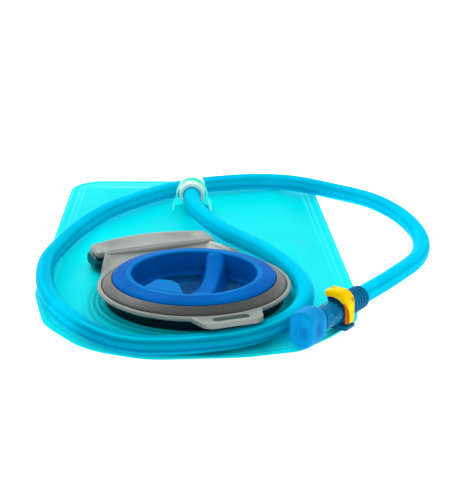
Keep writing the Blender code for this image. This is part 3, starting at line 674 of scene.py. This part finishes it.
def open_exit_hole(bm):
    """Opens the film round the elbow's riser, and rounds the hole's edge."""
    centre = Vector((EXIT[0], EXIT[1] + ELBOW_BACK, 0.0))
    radius = 5.6
    inside = [face for face in bm.faces
              if (face.calc_center_median().xy - centre.xy).length < radius]
    bmesh.ops.delete(bm, geom=inside, context="FACES")
    for vert in bm.verts:
        arm = vert.co.xy - centre.xy
        if vert.is_boundary and arm.length < radius + 4.0:
            edge = centre.xy + arm.normalized() * radius
            vert.co.x, vert.co.y = edge


def bag(materials):
    outline = bag_outline()
    bm, _verts = sheet_mesh("film_front", outline, UPSTAND_RADIUS + 0.3, front_height)
    open_exit_hole(bm)
    loose = [vert for vert in bm.verts if not vert.link_faces]
    bmesh.ops.delete(bm, geom=loose, context="VERTS")
    front = build("film_front", bm)
    if sum(polygon.normal.z for polygon in front.data.polygons) < 0.0:
        front.data.flip_normals()
    thicken(front, FILM)
    bm, verts = sheet_mesh("film_back", outline, 4.0, back_height)
    bm.faces.new(verts[-GRID_AROUND:])
    back = build("film_back", bm)
    if sum(polygon.normal.z for polygon in back.data.polygons) < 0.0:
        back.data.flip_normals()
    thicken(back, FILM - 0.06)
    for film, node, material in ((front, "bag_front_film", "film"),
                                 (back, "bag_back_film", "back film")):
        show(film, "root", [materials[material]], [node], 80.0)


# ---------------------------------------------------------------- fill port

def neck(materials):
    """Ring under the collar, in a near-black teal that is painted shade and painted reflection of the
    bag, with small windows and one moulded joint.
    """
    inner = UPSTAND_RADIUS + 0.3
    ring = turned("neck_ring", rounded([(inner, 13.6, 0.2), (NECK_RADIUS, 13.6, 0.4),
                                        (NECK_RADIUS, 9.9, 0.3), (NECK_RADIUS + 1.1, 9.6, 0.15),
                                        (NECK_RADIUS + 1.1, 8.6, 0.2), (inner, 8.6, 0.2)], 3),
                  HANDLE_FRAME)
    for window in range(NECK_WINDOWS):
        turn = Matrix.Rotation(math.tau * (window + 0.5) / NECK_WINDOWS, 4, "Z")
        boolean(ring, box("window", (2.4, 5.0, 1.6), (0.0, 0.0, 0.0),
                          HANDLE_FRAME @ turn @ shift(NECK_RADIUS, 0.0, 11.9)))
        boolean(ring, box("joint", (0.9, 0.35, 5.0), (0.0, 0.0, 0.0),
                          HANDLE_FRAME @ turn @ Matrix.Rotation(0.12, 4, "Z")
                          @ shift(NECK_RADIUS, 0.0, 12.6)))
    show(ring, "root", [materials["neck"]], ["port_neck"])


def bar_back(x):
    return 11.2 + math.sqrt(72.3 ** 2 - x ** 2)


def section(x, front, back, low, high, shrink, power_of, dish=0.0, points=40):
    """Loop round the handle's bar at station x: a squared oval with a dished top."""
    middle = (front + back) / 2.0
    half = (back - front) / 2.0 - shrink
    centre = (low + high) / 2.0
    rise = (high - low) / 2.0 - shrink * 0.8
    loop = []
    for i in range(points):
        angle = math.tau * i / points
        across = power(math.cos(angle), power_of)
        up = power(math.sin(angle), power_of)
        top = centre + rise * up
        if up > 0.0:
            top -= dish * (1.0 - across * across) ** 2 * up
        loop.append((x, middle + half * across, top))
    return loop


def handle_bar():
    """Carry bar: rounded, dished along its top, and lowest at its left end."""
    left = -35.6
    right = 34.2
    ends = 3.0
    loops = []
    for i in range(73):
        part = i / 72.0
        part -= 0.9 * math.sin(math.tau * part) / math.tau
        x = left + (right - left) * part
        near = min(x - left, right - x)
        shrink = ends * (1.0 - math.sqrt(max(0.0, 1.0 - (1.0 - min(near / ends, 1.0)) ** 2)))
        slim = smooth_step((-28.5 - x) / 3.0)
        dish = 2.4 * smooth_step((x + 34.0) / 12.0) * smooth_step((8.0 - x) / 26.0)
        dish += 1.8 * smooth_step((x - 2.0) / 14.0) * smooth_step((33.0 - x) / 9.0)
        high = 19.9 - 0.5 * smooth_step((-20.0 - x) / 16.0)
        loops.append(section(x, 57.0 + 2.2 * slim, bar_back(x), 12.7 + 1.9 * slim, high,
                             min(shrink, 2.5), 0.55, dish))
    bm = bmesh.new()
    loft(bm, loops)
    return build("handle_bar", bm, HANDLE_FRAME)


def handle_web():
    """Sheet between the collar and the bar: hollow in the middle, tangent at its sides."""
    side_angle = math.radians(22.4)
    around = 90
    across = 14
    tops = []
    bottoms = []
    for i in range(around + 1):
        angle = math.radians(32.0 + 116.0 * i / around)
        lean = math.cos(angle - (side_angle if angle < math.pi / 2.0 else math.pi - side_angle))
        outer = min(60.0 / math.sin(angle), 50.96 / lean)
        outer = max(outer, 51.3)
        top = []
        bottom = []
        for j in range(across + 1):
            part = j / across
            radius = 50.1 + (outer - 50.1) * part
            lip = smooth_step((outer - radius) / 2.0)
            free = smooth_step((outer - 52.5) / 3.0)
            high = 17.3 - 1.3 * free * math.sin(math.pi * part) + 2.3 * free * part ** 3
            high -= (1.0 - lip) * 1.0 * (1.0 if outer < 59.9 / math.sin(angle) else 0.0)
            top.append((radius * math.cos(angle), radius * math.sin(angle), high))
            bottom.append((radius * math.cos(angle), radius * math.sin(angle), 14.6))
        tops.append(top)
        bottoms.append(bottom)
    bm = bmesh.new()
    loft(bm, [top + bottom[::-1] for top, bottom in zip(tops, bottoms)])
    web = build("handle_web", bm, HANDLE_FRAME)
    window = [(-4.2, 52.7, 1.1), (4.2, 52.7, 1.1), (4.2, 55.0, 1.1), (-4.2, 55.0, 1.1)]
    boolean(web, prism("lock_window", rounded(window, 6), 10.0, 30.0, HANDLE_FRAME))
    return web


def strap_tab():
    """Slotted tab at the collar's front."""
    tab = prism("strap_tab", rounded([(-20.0, -46.0, 2.0), (-15.5, -61.0, 6.5),
                                      (15.5, -61.0, 6.5), (20.0, -46.0, 2.0)], 12), 14.7, 17.2,
                HANDLE_FRAME)
    boolean(tab, cylinder("keep_out", COLLAR_RADIUS - 1.4, -40.0, 40.0, HANDLE_FRAME, 160))
    slot = [(-10.0, -57.0, 2.5), (10.0, -57.0, 2.5), (10.0, -51.9, 2.5), (-10.0, -51.9, 2.5)]
    boolean(tab, prism("strap_slot", rounded(slot, 8), 10.0, 30.0, HANDLE_FRAME))
    bevel(tab, 0.5)
    return tab


def handle(materials):
    inner = UPSTAND_RADIUS + 0.3
    rim = turned("handle", rounded([(inner, 15.4, 0.1), (49.5, 15.4, 0.15), (49.5, 17.3, 0.35),
                                    (51.0, 17.3, 0.5), (COLLAR_RADIUS, 16.6, 0.5),
                                    (COLLAR_RADIUS, 15.6, 0.4), (50.6, 14.7, 0.4),
                                    (inner, 13.9, 0.2)], 4), HANDLE_FRAME)
    slot = [(-10.0, -57.0, 2.5), (10.0, -57.0, 2.5), (10.0, -51.9, 2.5), (-10.0, -51.9, 2.5)]
    boolean(rim, prism("strap_slot", rounded(slot, 8), 10.0, 30.0, HANDLE_FRAME))
    join(rim, [handle_bar(), handle_web(), strap_tab()])
    show(rim, "root", [materials["collar"]], ["handle_collar"])


def grip_pad(materials):
    """Soft pad under the bar, lobed below and wrapped up round the bar's ends; its dark teal is
    painted shade and painted reflection of the bag.
    """
    left = -37.4
    right = 35.6
    loops = []
    for i in range(81):
        part = i / 80.0
        part -= 0.9 * math.sin(math.tau * part) / math.tau
        x = left + (right - left) * part
        near = min(x - left, right - x)
        shrink = 1.3 * (1.0 - math.sqrt(max(0.0, 1.0 - (1.0 - min(near / 1.3, 1.0)) ** 2)))
        wrap = smooth_step((-35.75 - x) / 0.3) + smooth_step((x - 34.3) / 0.3)
        slim = smooth_step((-28.5 - x) / 3.0)
        low = 9.6 + 1.1 * (0.5 - 0.5 * math.cos(x * math.tau / 6.2))
        loops.append(section(x, 57.6 - 1.0 * slim, bar_back(x) - 0.5, low,
                             12.45 + 1.9 * slim + (4.2 - 1.9 * slim) * wrap, shrink, 0.5))
    bm = bmesh.new()
    loft(bm, loops)
    show(build("grip_pad", bm, HANDLE_FRAME), "root", [materials["grip"]],
         ["handle_grip_pad"])


def bezel(materials):
    ring = turned("bezel", rounded([(44.0, 20.7, 0.15), (44.6, 20.8, 0.3), (48.6, 18.1, 0.6),
                                    (49.15, 17.3, 0.3), (49.15, 15.7, 0.2), (44.0, 15.7, 0.2)],
                                   4), HANDLE_FRAME)
    show(ring, "root", [materials["bezel"]], ["port_top_ring"])


def gasket(materials):
    ring = turned("gasket_ring", rounded([(40.4, 17.0, 0.2), (42.1, 17.0, 0.3), (42.3, 16.4, 0.3),
                                          (42.1, 15.8, 0.3), (40.4, 15.8, 0.2),
                                          (40.2, 16.4, 0.3)], 2), CAP_FRAME)
    show(ring, "cap_carriage", [materials["rubber"]], ["cap_gasket"])


def thread_ridge(start):
    """One start of the cap's thread: a trapezoid carried up a helix."""
    section_line = [(SKIRT_RADIUS - 0.4, -1.1), (SKIRT_RADIUS + 1.2, -0.7),
                    (SKIRT_RADIUS + 1.2, 0.7), (SKIRT_RADIUS - 0.4, 1.1)]
    loops = []
    for step in range(61):
        angle = math.radians(32.0 + 2.0 * step)
        height = 6.6 + THREAD_LEAD * angle / math.tau
        place = shift(z=height) @ Matrix.Rotation(start + angle, 4, "Z")
        loops.append([place @ Vector((radius, 0.0, z)) for radius, z in section_line])
    bm = bmesh.new()
    loft(bm, loops)
    return build("cap_thread", bm, CAP_FRAME)


def grip_bar():
    """Saddle-shaped finger bar across the cap's well."""
    stations = [-35.0, -24.0, -14.0, 0.0, 14.0, 24.0, 35.0]
    lefts = [-4.2, -2.9, -1.2, 2.8, 5.2, 5.7, 5.4]
    rights = [12.0, 11.2, 11.2, 12.6, 14.4, 16.2, 18.6]
    loops = []
    for i in range(57):
        y = -35.0 + 70.0 * i / 56.0
        left = float(numpy.interp(y, stations, lefts))
        right = float(numpy.interp(y, stations, rights))
        top = min(93.5 - math.sqrt(77.0 ** 2 - y ** 2), CAP_TOP - 0.5)
        half = (right - left) / 2.0
        loop = []
        for k in range(33):
            angle = math.pi * k / 32.0
            height = (top - 10.0) * power(math.sin(angle), 0.42)
            across = power(math.cos(angle), 0.42)
            flare = 1.8 * math.exp(-height / 1.4) * across
            point = Vector(((left + right) / 2.0 + half * across + flare, y))
            if point.length > 34.4:
                point *= 34.4 / point.length
            loop.append((*point, 10.0 + height))
        loops.append(loop)
    bm = bmesh.new()
    loft(bm, loops)
    return build("grip_bar", bm, CAP_FRAME)


def cap(materials):
    """Screw cap: crowned flange, finger well with a grip bar, thumb tab, skirt and thread."""
    profile = [(0.01, WELL_FLOOR, 0.0), (WELL_RADIUS, WELL_FLOOR, 2.2),
               (WELL_RADIUS + 0.1, CAP_TOP, 0.9), (36.6, CAP_TOP - 0.1, 2.0),
               (42.3, 22.3, 2.5), (CAP_RADIUS, 21.3, 0.7), (CAP_RADIUS, 17.4, 0.3),
               (SKIRT_RADIUS, 17.3, 0.3), (SKIRT_RADIUS, 6.4, 0.4),
               (SKIRT_RADIUS - 1.5, 6.4, 0.3), (SKIRT_RADIUS - 1.5, 16.0, 0.3),
               (35.2, 16.0, 0.3), (35.2, WELL_FLOOR - 1.5, 1.2), (0.01, WELL_FLOOR - 1.5, 0.0)]
    line = []
    for index in range(1, len(profile) - 1):
        line += rounded_corner(profile, index)
    body = turned("cap", [(0.0, WELL_FLOOR)] + line + [(0.0, WELL_FLOOR - 1.5)], CAP_FRAME,
                  closed=False)
    tab = prism("thumb_tab", rounded([(-26.8, -23.2, 0.4), (-16.5, -31.4, 0.4),
                                      (-4.6, -35.0, 0.4), (-8.0, -17.8, 2.0),
                                      (-11.5, -12.9, 2.0), (-19.4, -10.9, 2.0)], 6), 20.2, 23.5,
                CAP_FRAME)
    bevel(tab, 0.9, 4, 50.0)
    inset_flats(tab)
    pieces = [grip_bar(), tab]
    pieces += [thread_ridge(math.pi * start) for start in range(2)]
    join(body, pieces)
    show(body, "cap", [materials["cap"], materials["cap floor shade"],
                                      materials["cap rim highlight"]], ["fill_cap"], 50.0)
    for polygon in body.data.polygons:
        spot = CAP_FRAME.inverted() @ (Vector(polygon.center) / MM)
        # Painted shade on the flat floor of the well.
        on_shaded_floor = abs(spot.z - WELL_FLOOR) < 0.05 and polygon.normal.z > 0.9
        # Painted highlight on the top of the well's rim.
        on_highlit_rim = spot.z > CAP_TOP - 1.0 and spot.xy.length < 35.9
        polygon.material_index = 1 if on_shaded_floor else 2 if on_highlit_rim else 0


def rounded_corner(profile, index):
    """The arc that rounds one inner corner of an open profile of (radius, height, round)."""
    corners = [profile[index - 1], profile[index], profile[index + 1]]
    closed = rounded([(x, y, r if i == 1 else 0.0001) for i, (x, y, r) in enumerate(corners)], 5)
    return closed[6:12]


# ---------------------------------------------------------------- exit port

def half_oval(width, height, steps=40):
    return [(width * x, height * y) for x, y in arc((0.0, 0.0), 1.0, 0.0, 180.0, steps)]


def exit_base(materials):
    """Clear moulding: a thin plate welded on the film and a leaning arch over the hose end."""
    plate = prism("exit_base", rounded([(-12.2, -10.2, 1.2), (12.2, -10.2, 1.2),
                                        (12.2, 20.9, 11.5), (-12.2, 20.9, 11.5)], 12),
                  -8.6, -7.5, EXIT_FRAME)
    boolean(plate, prism("notch", rounded([(-10.6, -20.0, 1.0), (10.6, -20.0, 1.0),
                                           (10.6, 3.0, 4.0), (-10.6, 3.0, 4.0)], 8),
                         -12.0, 0.0, EXIT_FRAME))
    boolean(plate, cylinder("well", 5.3, -18.0, 2.0, EXIT_FRAME @ shift(y=ELBOW_BACK)))
    bevel(plate, 0.3)
    lean = EXIT_FRAME @ shift(y=-2.6) @ Matrix.Rotation(HOOD_LEAN, 4, "X")
    inner = HOOD_RADIUS - HOOD_WALL
    outline = ([(12.0, -9.6)] + half_oval(HOOD_RADIUS, HOOD_TALL / math.sin(HOOD_LEAN))
               + [(-12.0, -9.6), (-11.0, -9.6)]
               + half_oval(inner, (HOOD_TALL - HOOD_WALL) / math.sin(HOOD_LEAN))[::-1]
               + [(11.0, -9.6)])
    arch = prism("exit_arch", outline, -1.1, 1.1, lean)
    boolean(arch, box("foot_cut", (40.0, 40.0, 10.0), (0.0, 0.0, -13.4), EXIT_FRAME))
    bevel(arch, 0.35)
    flat = len(plate.data.polygons)
    join(plate, [arch])
    show(plate, "root", [materials["plate"], materials["arch"]],
         ["exit_port_base"])
    plate.visible_shadow = False
    for polygon in plate.data.polygons:
        polygon.material_index = 0 if polygon.index < flat else 1


def elbow(materials):
    riser = turned("elbow", [(0.0, 4.4), (2.0, 4.2), (4.0, 2.6), (4.8, 0.8), (4.8, -11.0),
                             (9.0, -11.1), (9.0, -12.1), (0.0, -12.1)],
                   EXIT_FRAME @ shift(y=ELBOW_BACK), 64, closed=False)
    across = EXIT_FRAME @ shift(y=ELBOW_BACK) @ Matrix.Rotation(math.pi / 2.0, 4, "X")
    spigot = turned("spigot", [(2.2, 13.8), (2.9, 13.8), (3.5, 11.6), (3.0, 11.5), (3.0, 10.6),
                               (3.5, 8.4), (3.0, 8.3), (3.0, 6.4), (5.0, 6.4), (5.3, 6.1),
                               (5.3, -3.8), (4.6, -4.6), (0.0, -4.6), (0.0, 5.0), (2.2, 5.0)],
                    across, 64)
    join(riser, [spigot])
    show(riser, "root", [materials["elbow"]], ["exit_elbow"])


def sleeve(materials):
    """Milky stepped clip over the hose end, open along its underside."""
    profile = [(5.3, 2.6, 0.3), (7.2, 2.6, 0.5), (7.6, 1.9, 0.3), (7.6, -0.6, 0.15),
               (7.35, -1.0, 0.1), (7.65, -1.4, 0.15), (7.8, -4.4, 0.3), (7.8, -8.2, 0.15),
               (7.5, -8.6, 0.1), (7.8, -9.0, 0.15), (7.8, -17.4, 0.6), (7.2, -18.4, 0.4),
               (5.3, -18.4, 0.3)]
    place = EXIT_FRAME @ Matrix.Rotation(math.pi / 2.0, 4, "X")
    clip = turned("hose_sleeve", rounded(profile, 3), place, 96)
    boolean(clip, box("opening", (10.7, 40.0, 20.0), (0.0, 0.0, -12.6), EXIT_FRAME))
    bevel(clip, 0.25, 2, 60.0)
    show(clip, "root", [materials["sleeve"]], ["connector_sleeve"])


# ---------------------------------------------------------------- bite valve

def relief(materials):
    """Ribbed rubber boot round the end of the hose."""
    profile = [(5.2, -4.5, 0.1), (6.3, -4.5, 0.3)]
    for rib in range(6):
        top = -5.5 - rib * 2.9
        profile += [(6.4, top, 0.25), (5.7, top - 0.4, 0.2), (5.7, top - 1.0, 0.2),
                    (6.4, top - 1.4, 0.25)]
    profile += [(6.3, -23.2, 0.4), (5.2, -23.2, 0.2)]
    boot = show(turned("relief_boot", rounded(profile, 3), VALVE_FRAME, 80), "root",
                [materials["relief"], materials["groove"]], ["strain_relief"])
    # Painted highlight: faces at the bottom of the grooves take the lighter finish.
    to_valve = VALVE_FRAME.inverted()
    for polygon in boot.data.polygons:
        radius = (to_valve @ (Vector(polygon.center) / MM)).xy.length
        polygon.material_index = 1 if 5.5 < radius < 5.85 else 0
    return boot


def housing(materials):
    """Dark blue drum under the lever, on a rounded square foot."""
    drum = turned("valve_housing", [(0.0, 3.0), (5.6, 3.0), (6.0, 2.8), (6.2, 2.5), (6.2, -3.9),
                                    (5.9, -4.2), (0.0, -4.2)], VALVE_FRAME, 96, closed=False)
    foot = prism("foot", rounded([(-5.8, -9.4, 2.6), (8.6, -9.4, 1.8), (8.6, -6.9, 0.4),
                                  (3.0, -6.9, 0.3), (3.0, -3.0, 0.3), (-5.8, -3.0, 0.4)], 8),
                 -4.0, 3.3, VALVE_FRAME)
    boolean(drum, foot, "UNION")
    for radius, low, high in ((5.2, -1.9, 9.0), (4.2, -11.0, -3.2), (1.2, -5.0, 0.0)):
        boolean(drum, cylinder("bore", radius, low, high, VALVE_FRAME, 64))
    window = arc((0.0, 0.0), 4.6, 28.0, 142.0, 24) + arc((0.0, 0.0), 10.5, 142.0, 28.0, 24)
    boolean(drum, prism("pin_window", window, PIN_STATION - 1.1, PIN_STATION + 1.1, VALVE_FRAME))
    bevel(drum, 0.2, 2, 50.0)
    return show(drum, "root", [materials["housing"]], ["valve_body"])


def round_outside(piece, width):
    """Rounds the lever's outer edges, and leaves its bore square."""
    bm = bmesh.new()
    bm.from_mesh(piece.data)
    to_valve = VALVE_FRAME.inverted()
    edges = []
    for edge in bm.edges:
        ends = [to_valve @ (vert.co / MM) for vert in edge.verts]
        flat = abs(ends[0].z - ends[1].z) < 0.01
        if flat and all(end.xy.length > LINER_RADIUS + 0.25 or end.x > 7.5 for end in ends):
            edges.append(edge)
    bmesh.ops.bevel(bm, geom=edges, offset=width * MM, segments=6, profile=0.5, affect="EDGES",
                    clamp_overlap=False)
    bm.to_mesh(piece.data)
    bm.free()


def lever(materials):
    """Yellow hook-shaped lever with a scooped thumb arm."""
    outer = [(LEVER_BORE, -5.6)] + arc((7.6, -3.6), 2.0, -90.0, 0.0, 10)
    outer += arc((2.8, 5.6), 6.8, 0.0, 80.0, 20)
    outer += arc((-0.6, 4.9), 7.5, 92.0, 112.0, 6)
    outer += arc((-3.3, 10.0), 1.75, 120.0, 255.0, 12)
    inner = arc((0.0, 0.0), LINER_RADIUS, 108.0, 45.0, 20)
    inner += [(LEVER_BORE, 5.4), (LEVER_BORE, 2.0)]
    piece = prism("lever", outer + inner, LEVER_LOW, LEVER_HIGH, VALVE_FRAME)
    round_outside(piece, 1.5)
    nub = cylinder("nub", 0.9, LEVER_LOW + 0.4, LEVER_LOW + 3.0, VALVE_FRAME @ shift(-2.6, 11.5), 24)
    boolean(piece, nub, "UNION")
    radii = (3.6, 9.0, 3.4)
    centre = Vector((7.2, -2.6, 5.6))
    boolean(piece, ball("scoop", centre, radii, VALVE_FRAME, 48))
    pin = (VALVE_FRAME @ Matrix.Rotation(PIN_ANGLE, 4, "Z") @ shift(z=PIN_STATION)
           @ Matrix.Rotation(math.pi / 2.0, 4, "Y"))
    boolean(piece, cylinder("pin_hole", 1.0, 5.0, 16.0, pin, 32))
    liner_line = (arc((0.0, 0.0), LEVER_BORE, 20.0, 116.0, 24)
                  + arc((0.0, 0.0), LINER_RADIUS + 0.3, 112.0, 45.0, 24))
    liner = prism("liner", liner_line, LEVER_LOW + 0.5, LEVER_HIGH - 0.6, VALVE_FRAME)
    boolean(liner, cylinder("pin_way", 1.0, 5.0, 16.0, pin, 32))
    bevel(liner, 0.25, 2, 50.0)
    inset_flats(piece)
    inset_flats(liner)
    yellow = len(piece.data.polygons)
    join(piece, [liner])
    show(piece, "lever",
         [materials["lever"], materials["scoop"], materials["housing"]], ["shutoff_lever"])
    to_valve = VALVE_FRAME.inverted()
    # Painted shade: faces inside the scoop take the orange finish; the liner takes the housing's.
    for polygon in piece.data.polygons:
        spot = to_valve @ (Vector(polygon.center) / MM) - centre
        reach = math.sqrt(sum((value / radius) ** 2 for value, radius in zip(spot, radii)))
        polygon.material_index = 2 if polygon.index >= yellow else 1 if reach < 1.02 else 0
    return piece


def stem(materials):
    """Blue swivelling stem with a round dent on each side and the nipple for the mouthpiece."""
    piece = turned("stem", [(2.6, 29.6), (3.7, 29.6), (3.9, 29.4), (4.5, 28.0), (4.5, 27.2),
                            (3.9, 27.0), (3.9, 19.8), (5.4, 19.2), (6.0, 18.8), (6.25, 18.2),
                            (6.25, 5.2), (6.0, 4.5), (4.8, 3.8), (4.2, 3.8), (4.2, 11.4),
                            (2.6, 11.4)], VALVE_FRAME, 96)
    for side in (DENT_ANGLE, DENT_ANGLE + math.pi):
        centre = (9.2 * math.cos(side), 9.2 * math.sin(side), 10.4)
        boolean(piece, ball("dent", centre, (4.2, 4.2, 4.2), VALVE_FRAME, 48))
    return show(piece, "stem", [materials["stem"]], ["valve_stem"])


def mouthpiece(materials):
    """Soft mouthpiece: rounded back, dimpled sides and front, and a slit across its front."""
    back = 19.6
    front = 36.4
    rows = 64
    around = 72
    loops = []
    dimple_shades = []
    for i in range(rows + 1):
        part = (1.0 - math.cos(math.pi * i / rows)) / 2.0
        z = back + (front - back) * part
        rear = math.sqrt(max(0.0, 1.0 - (1.0 - min((z - back) / 6.2, 1.0)) ** 2))
        nose = math.sqrt(max(0.0, 1.0 - (1.0 - min((front - z) / 1.9, 1.0)) ** 2))
        wide = 5.0 + 2.1 * rear - 1.5 * (1.0 - nose)
        tall = 5.0 + 4.9 * rear - 1.5 * (1.0 - nose)
        loop = []
        tint = []
        for k in range(around):
            angle = math.tau * k / around
            x = wide * power(math.cos(angle), 0.80)
            y = tall * power(math.sin(angle), 0.80)
            dimple = (math.exp(-(y / 4.2) ** 2 - ((z - 29.0) / 3.4) ** 2)
                      * smooth_step((abs(x) - 2.0) / 3.0))
            x -= math.copysign(1.2 * dimple, x)
            loop.append((x, y, z))
            # Painted shade: each side dimple is darkened as well as pressed in.
            tint.append(0.8 * dimple)
        loops.append(loop)
        dimple_shades.append(tint)
    for step in range(1, 15):
        scale = 1.0 - step / 15.0
        loop = []
        tint = []
        for x, y, _z in loops[rows]:
            x *= scale
            y *= scale
            hollow = math.exp(-((x - 2.2) / 2.0) ** 2 - (y / 3.4) ** 2)
            hollow += 0.5 * math.exp(-((x + 2.6) / 1.6) ** 2 - (y / 3.4) ** 2)
            loop.append((x, y, front - 0.7 * hollow * smooth_step((1.0 - scale) * 5.0)))
            # Painted shade: the hollows at the front are darkened the same way.
            tint.append(0.8 * hollow * smooth_step((1.0 - scale) * 5.0))
        loops.append(loop)
        dimple_shades.append(tint)
    bm = bmesh.new()
    layer = bm.verts.layers.float.new("dimple")
    loft(bm, loops)
    bm.verts.ensure_lookup_table()
    for vert, value in zip(bm.verts, [value for tint in dimple_shades for value in tint]):
        vert[layer] = value
    piece = build("mouthpiece", bm, VALVE_FRAME)
    boolean(piece, cylinder("bore", 4.8, back - 1.0, 33.4, VALVE_FRAME, 64))
    boolean(piece, box("slit", (0.16, 13.0, 6.0), (0.0, 0.0, 35.6), VALVE_FRAME))
    return show(piece, "mouthpiece", [materials["silicone"]], ["bite_valve"])


# ---------------------------------------------------------------- scene

def carry_over(materials):
    """Gives each CAD node that stays in view its finish."""
    kept = {"port_weld_flange": "flange", "elbow_o_ring": "rubber", "valve_barb": "elbow",
            "valve_rotor": "white", "rotor_o_ring": "rubber", "stem_o_ring": "rubber",
            "lever_pin": "steel"}
    for node, material in kept.items():
        obj = bpy.data.objects[node]
        obj.data.materials.clear()
        obj.data.materials.append(materials[material])


def camera():
    lens = bpy.data.cameras.new("camera")
    lens.lens = CAMERA_LENS
    obj = bpy.data.objects.new("camera", lens)
    obj.location = CAMERA_PLACE
    obj.rotation_euler = (math.pi / 2.0 - CAMERA_TILT, 0.0, 0.0)
    bpy.context.scene.collection.objects.link(obj)
    bpy.context.scene.camera = obj


def studio(materials):
    """White table, white surroundings and one broad soft light from the back left."""
    bm = bmesh.new()
    bmesh.ops.create_grid(bm, x_segments=2, y_segments=2, size=3000.0)
    table = build("table", bm, shift(z=-0.05))
    table.data.materials.append(materials["floor"])
    world = bpy.data.worlds.new("studio")
    world.use_nodes = True
    tree = world.node_tree
    background = tree.nodes["Background"]
    background.inputs["Color"].default_value = (1.0, 1.0, 1.0, 1.0)
    direction = tree.nodes.new("ShaderNodeTexCoord")
    split = tree.nodes.new("ShaderNodeSeparateXYZ")
    fade = tree.nodes.new("ShaderNodeMapRange")
    fade.inputs["From Min"].default_value = -1.0
    fade.inputs["To Min"].default_value = 0.55
    fade.inputs["To Max"].default_value = 1.30
    tree.links.new(direction.outputs["Generated"], split.inputs["Vector"])
    tree.links.new(split.outputs["Y"], fade.inputs["Value"])
    tree.links.new(fade.outputs["Result"], background.inputs["Strength"])
    bpy.context.scene.world = world
    sun = bpy.data.lights.new("softbox", "SUN")
    sun.energy = 1.3
    sun.angle = math.radians(28.0)
    obj = bpy.data.objects.new("softbox", sun)
    obj.rotation_euler = (math.radians(-38.0), math.radians(-22.0), 0.0)
    bpy.context.scene.collection.objects.link(obj)
    bpy.context.scene.view_settings.view_transform = "Standard"


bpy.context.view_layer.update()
camera()
FINISHES = make_materials()
tube_piece, tube_line = hose(FINISHES)
bag(FINISHES)
neck(FINISHES)
handle(FINISHES)
grip_pad(FINISHES)
bezel(FINISHES)
gasket(FINISHES)
cap(FINISHES)
exit_base(FINISHES)
elbow(FINISHES)
sleeve(FINISHES)
valve_pieces = [relief(FINISHES), housing(FINISHES), lever(FINISHES), stem(FINISHES),
                mouthpiece(FINISHES)]
carry_over(FINISHES)
studio(FINISHES)
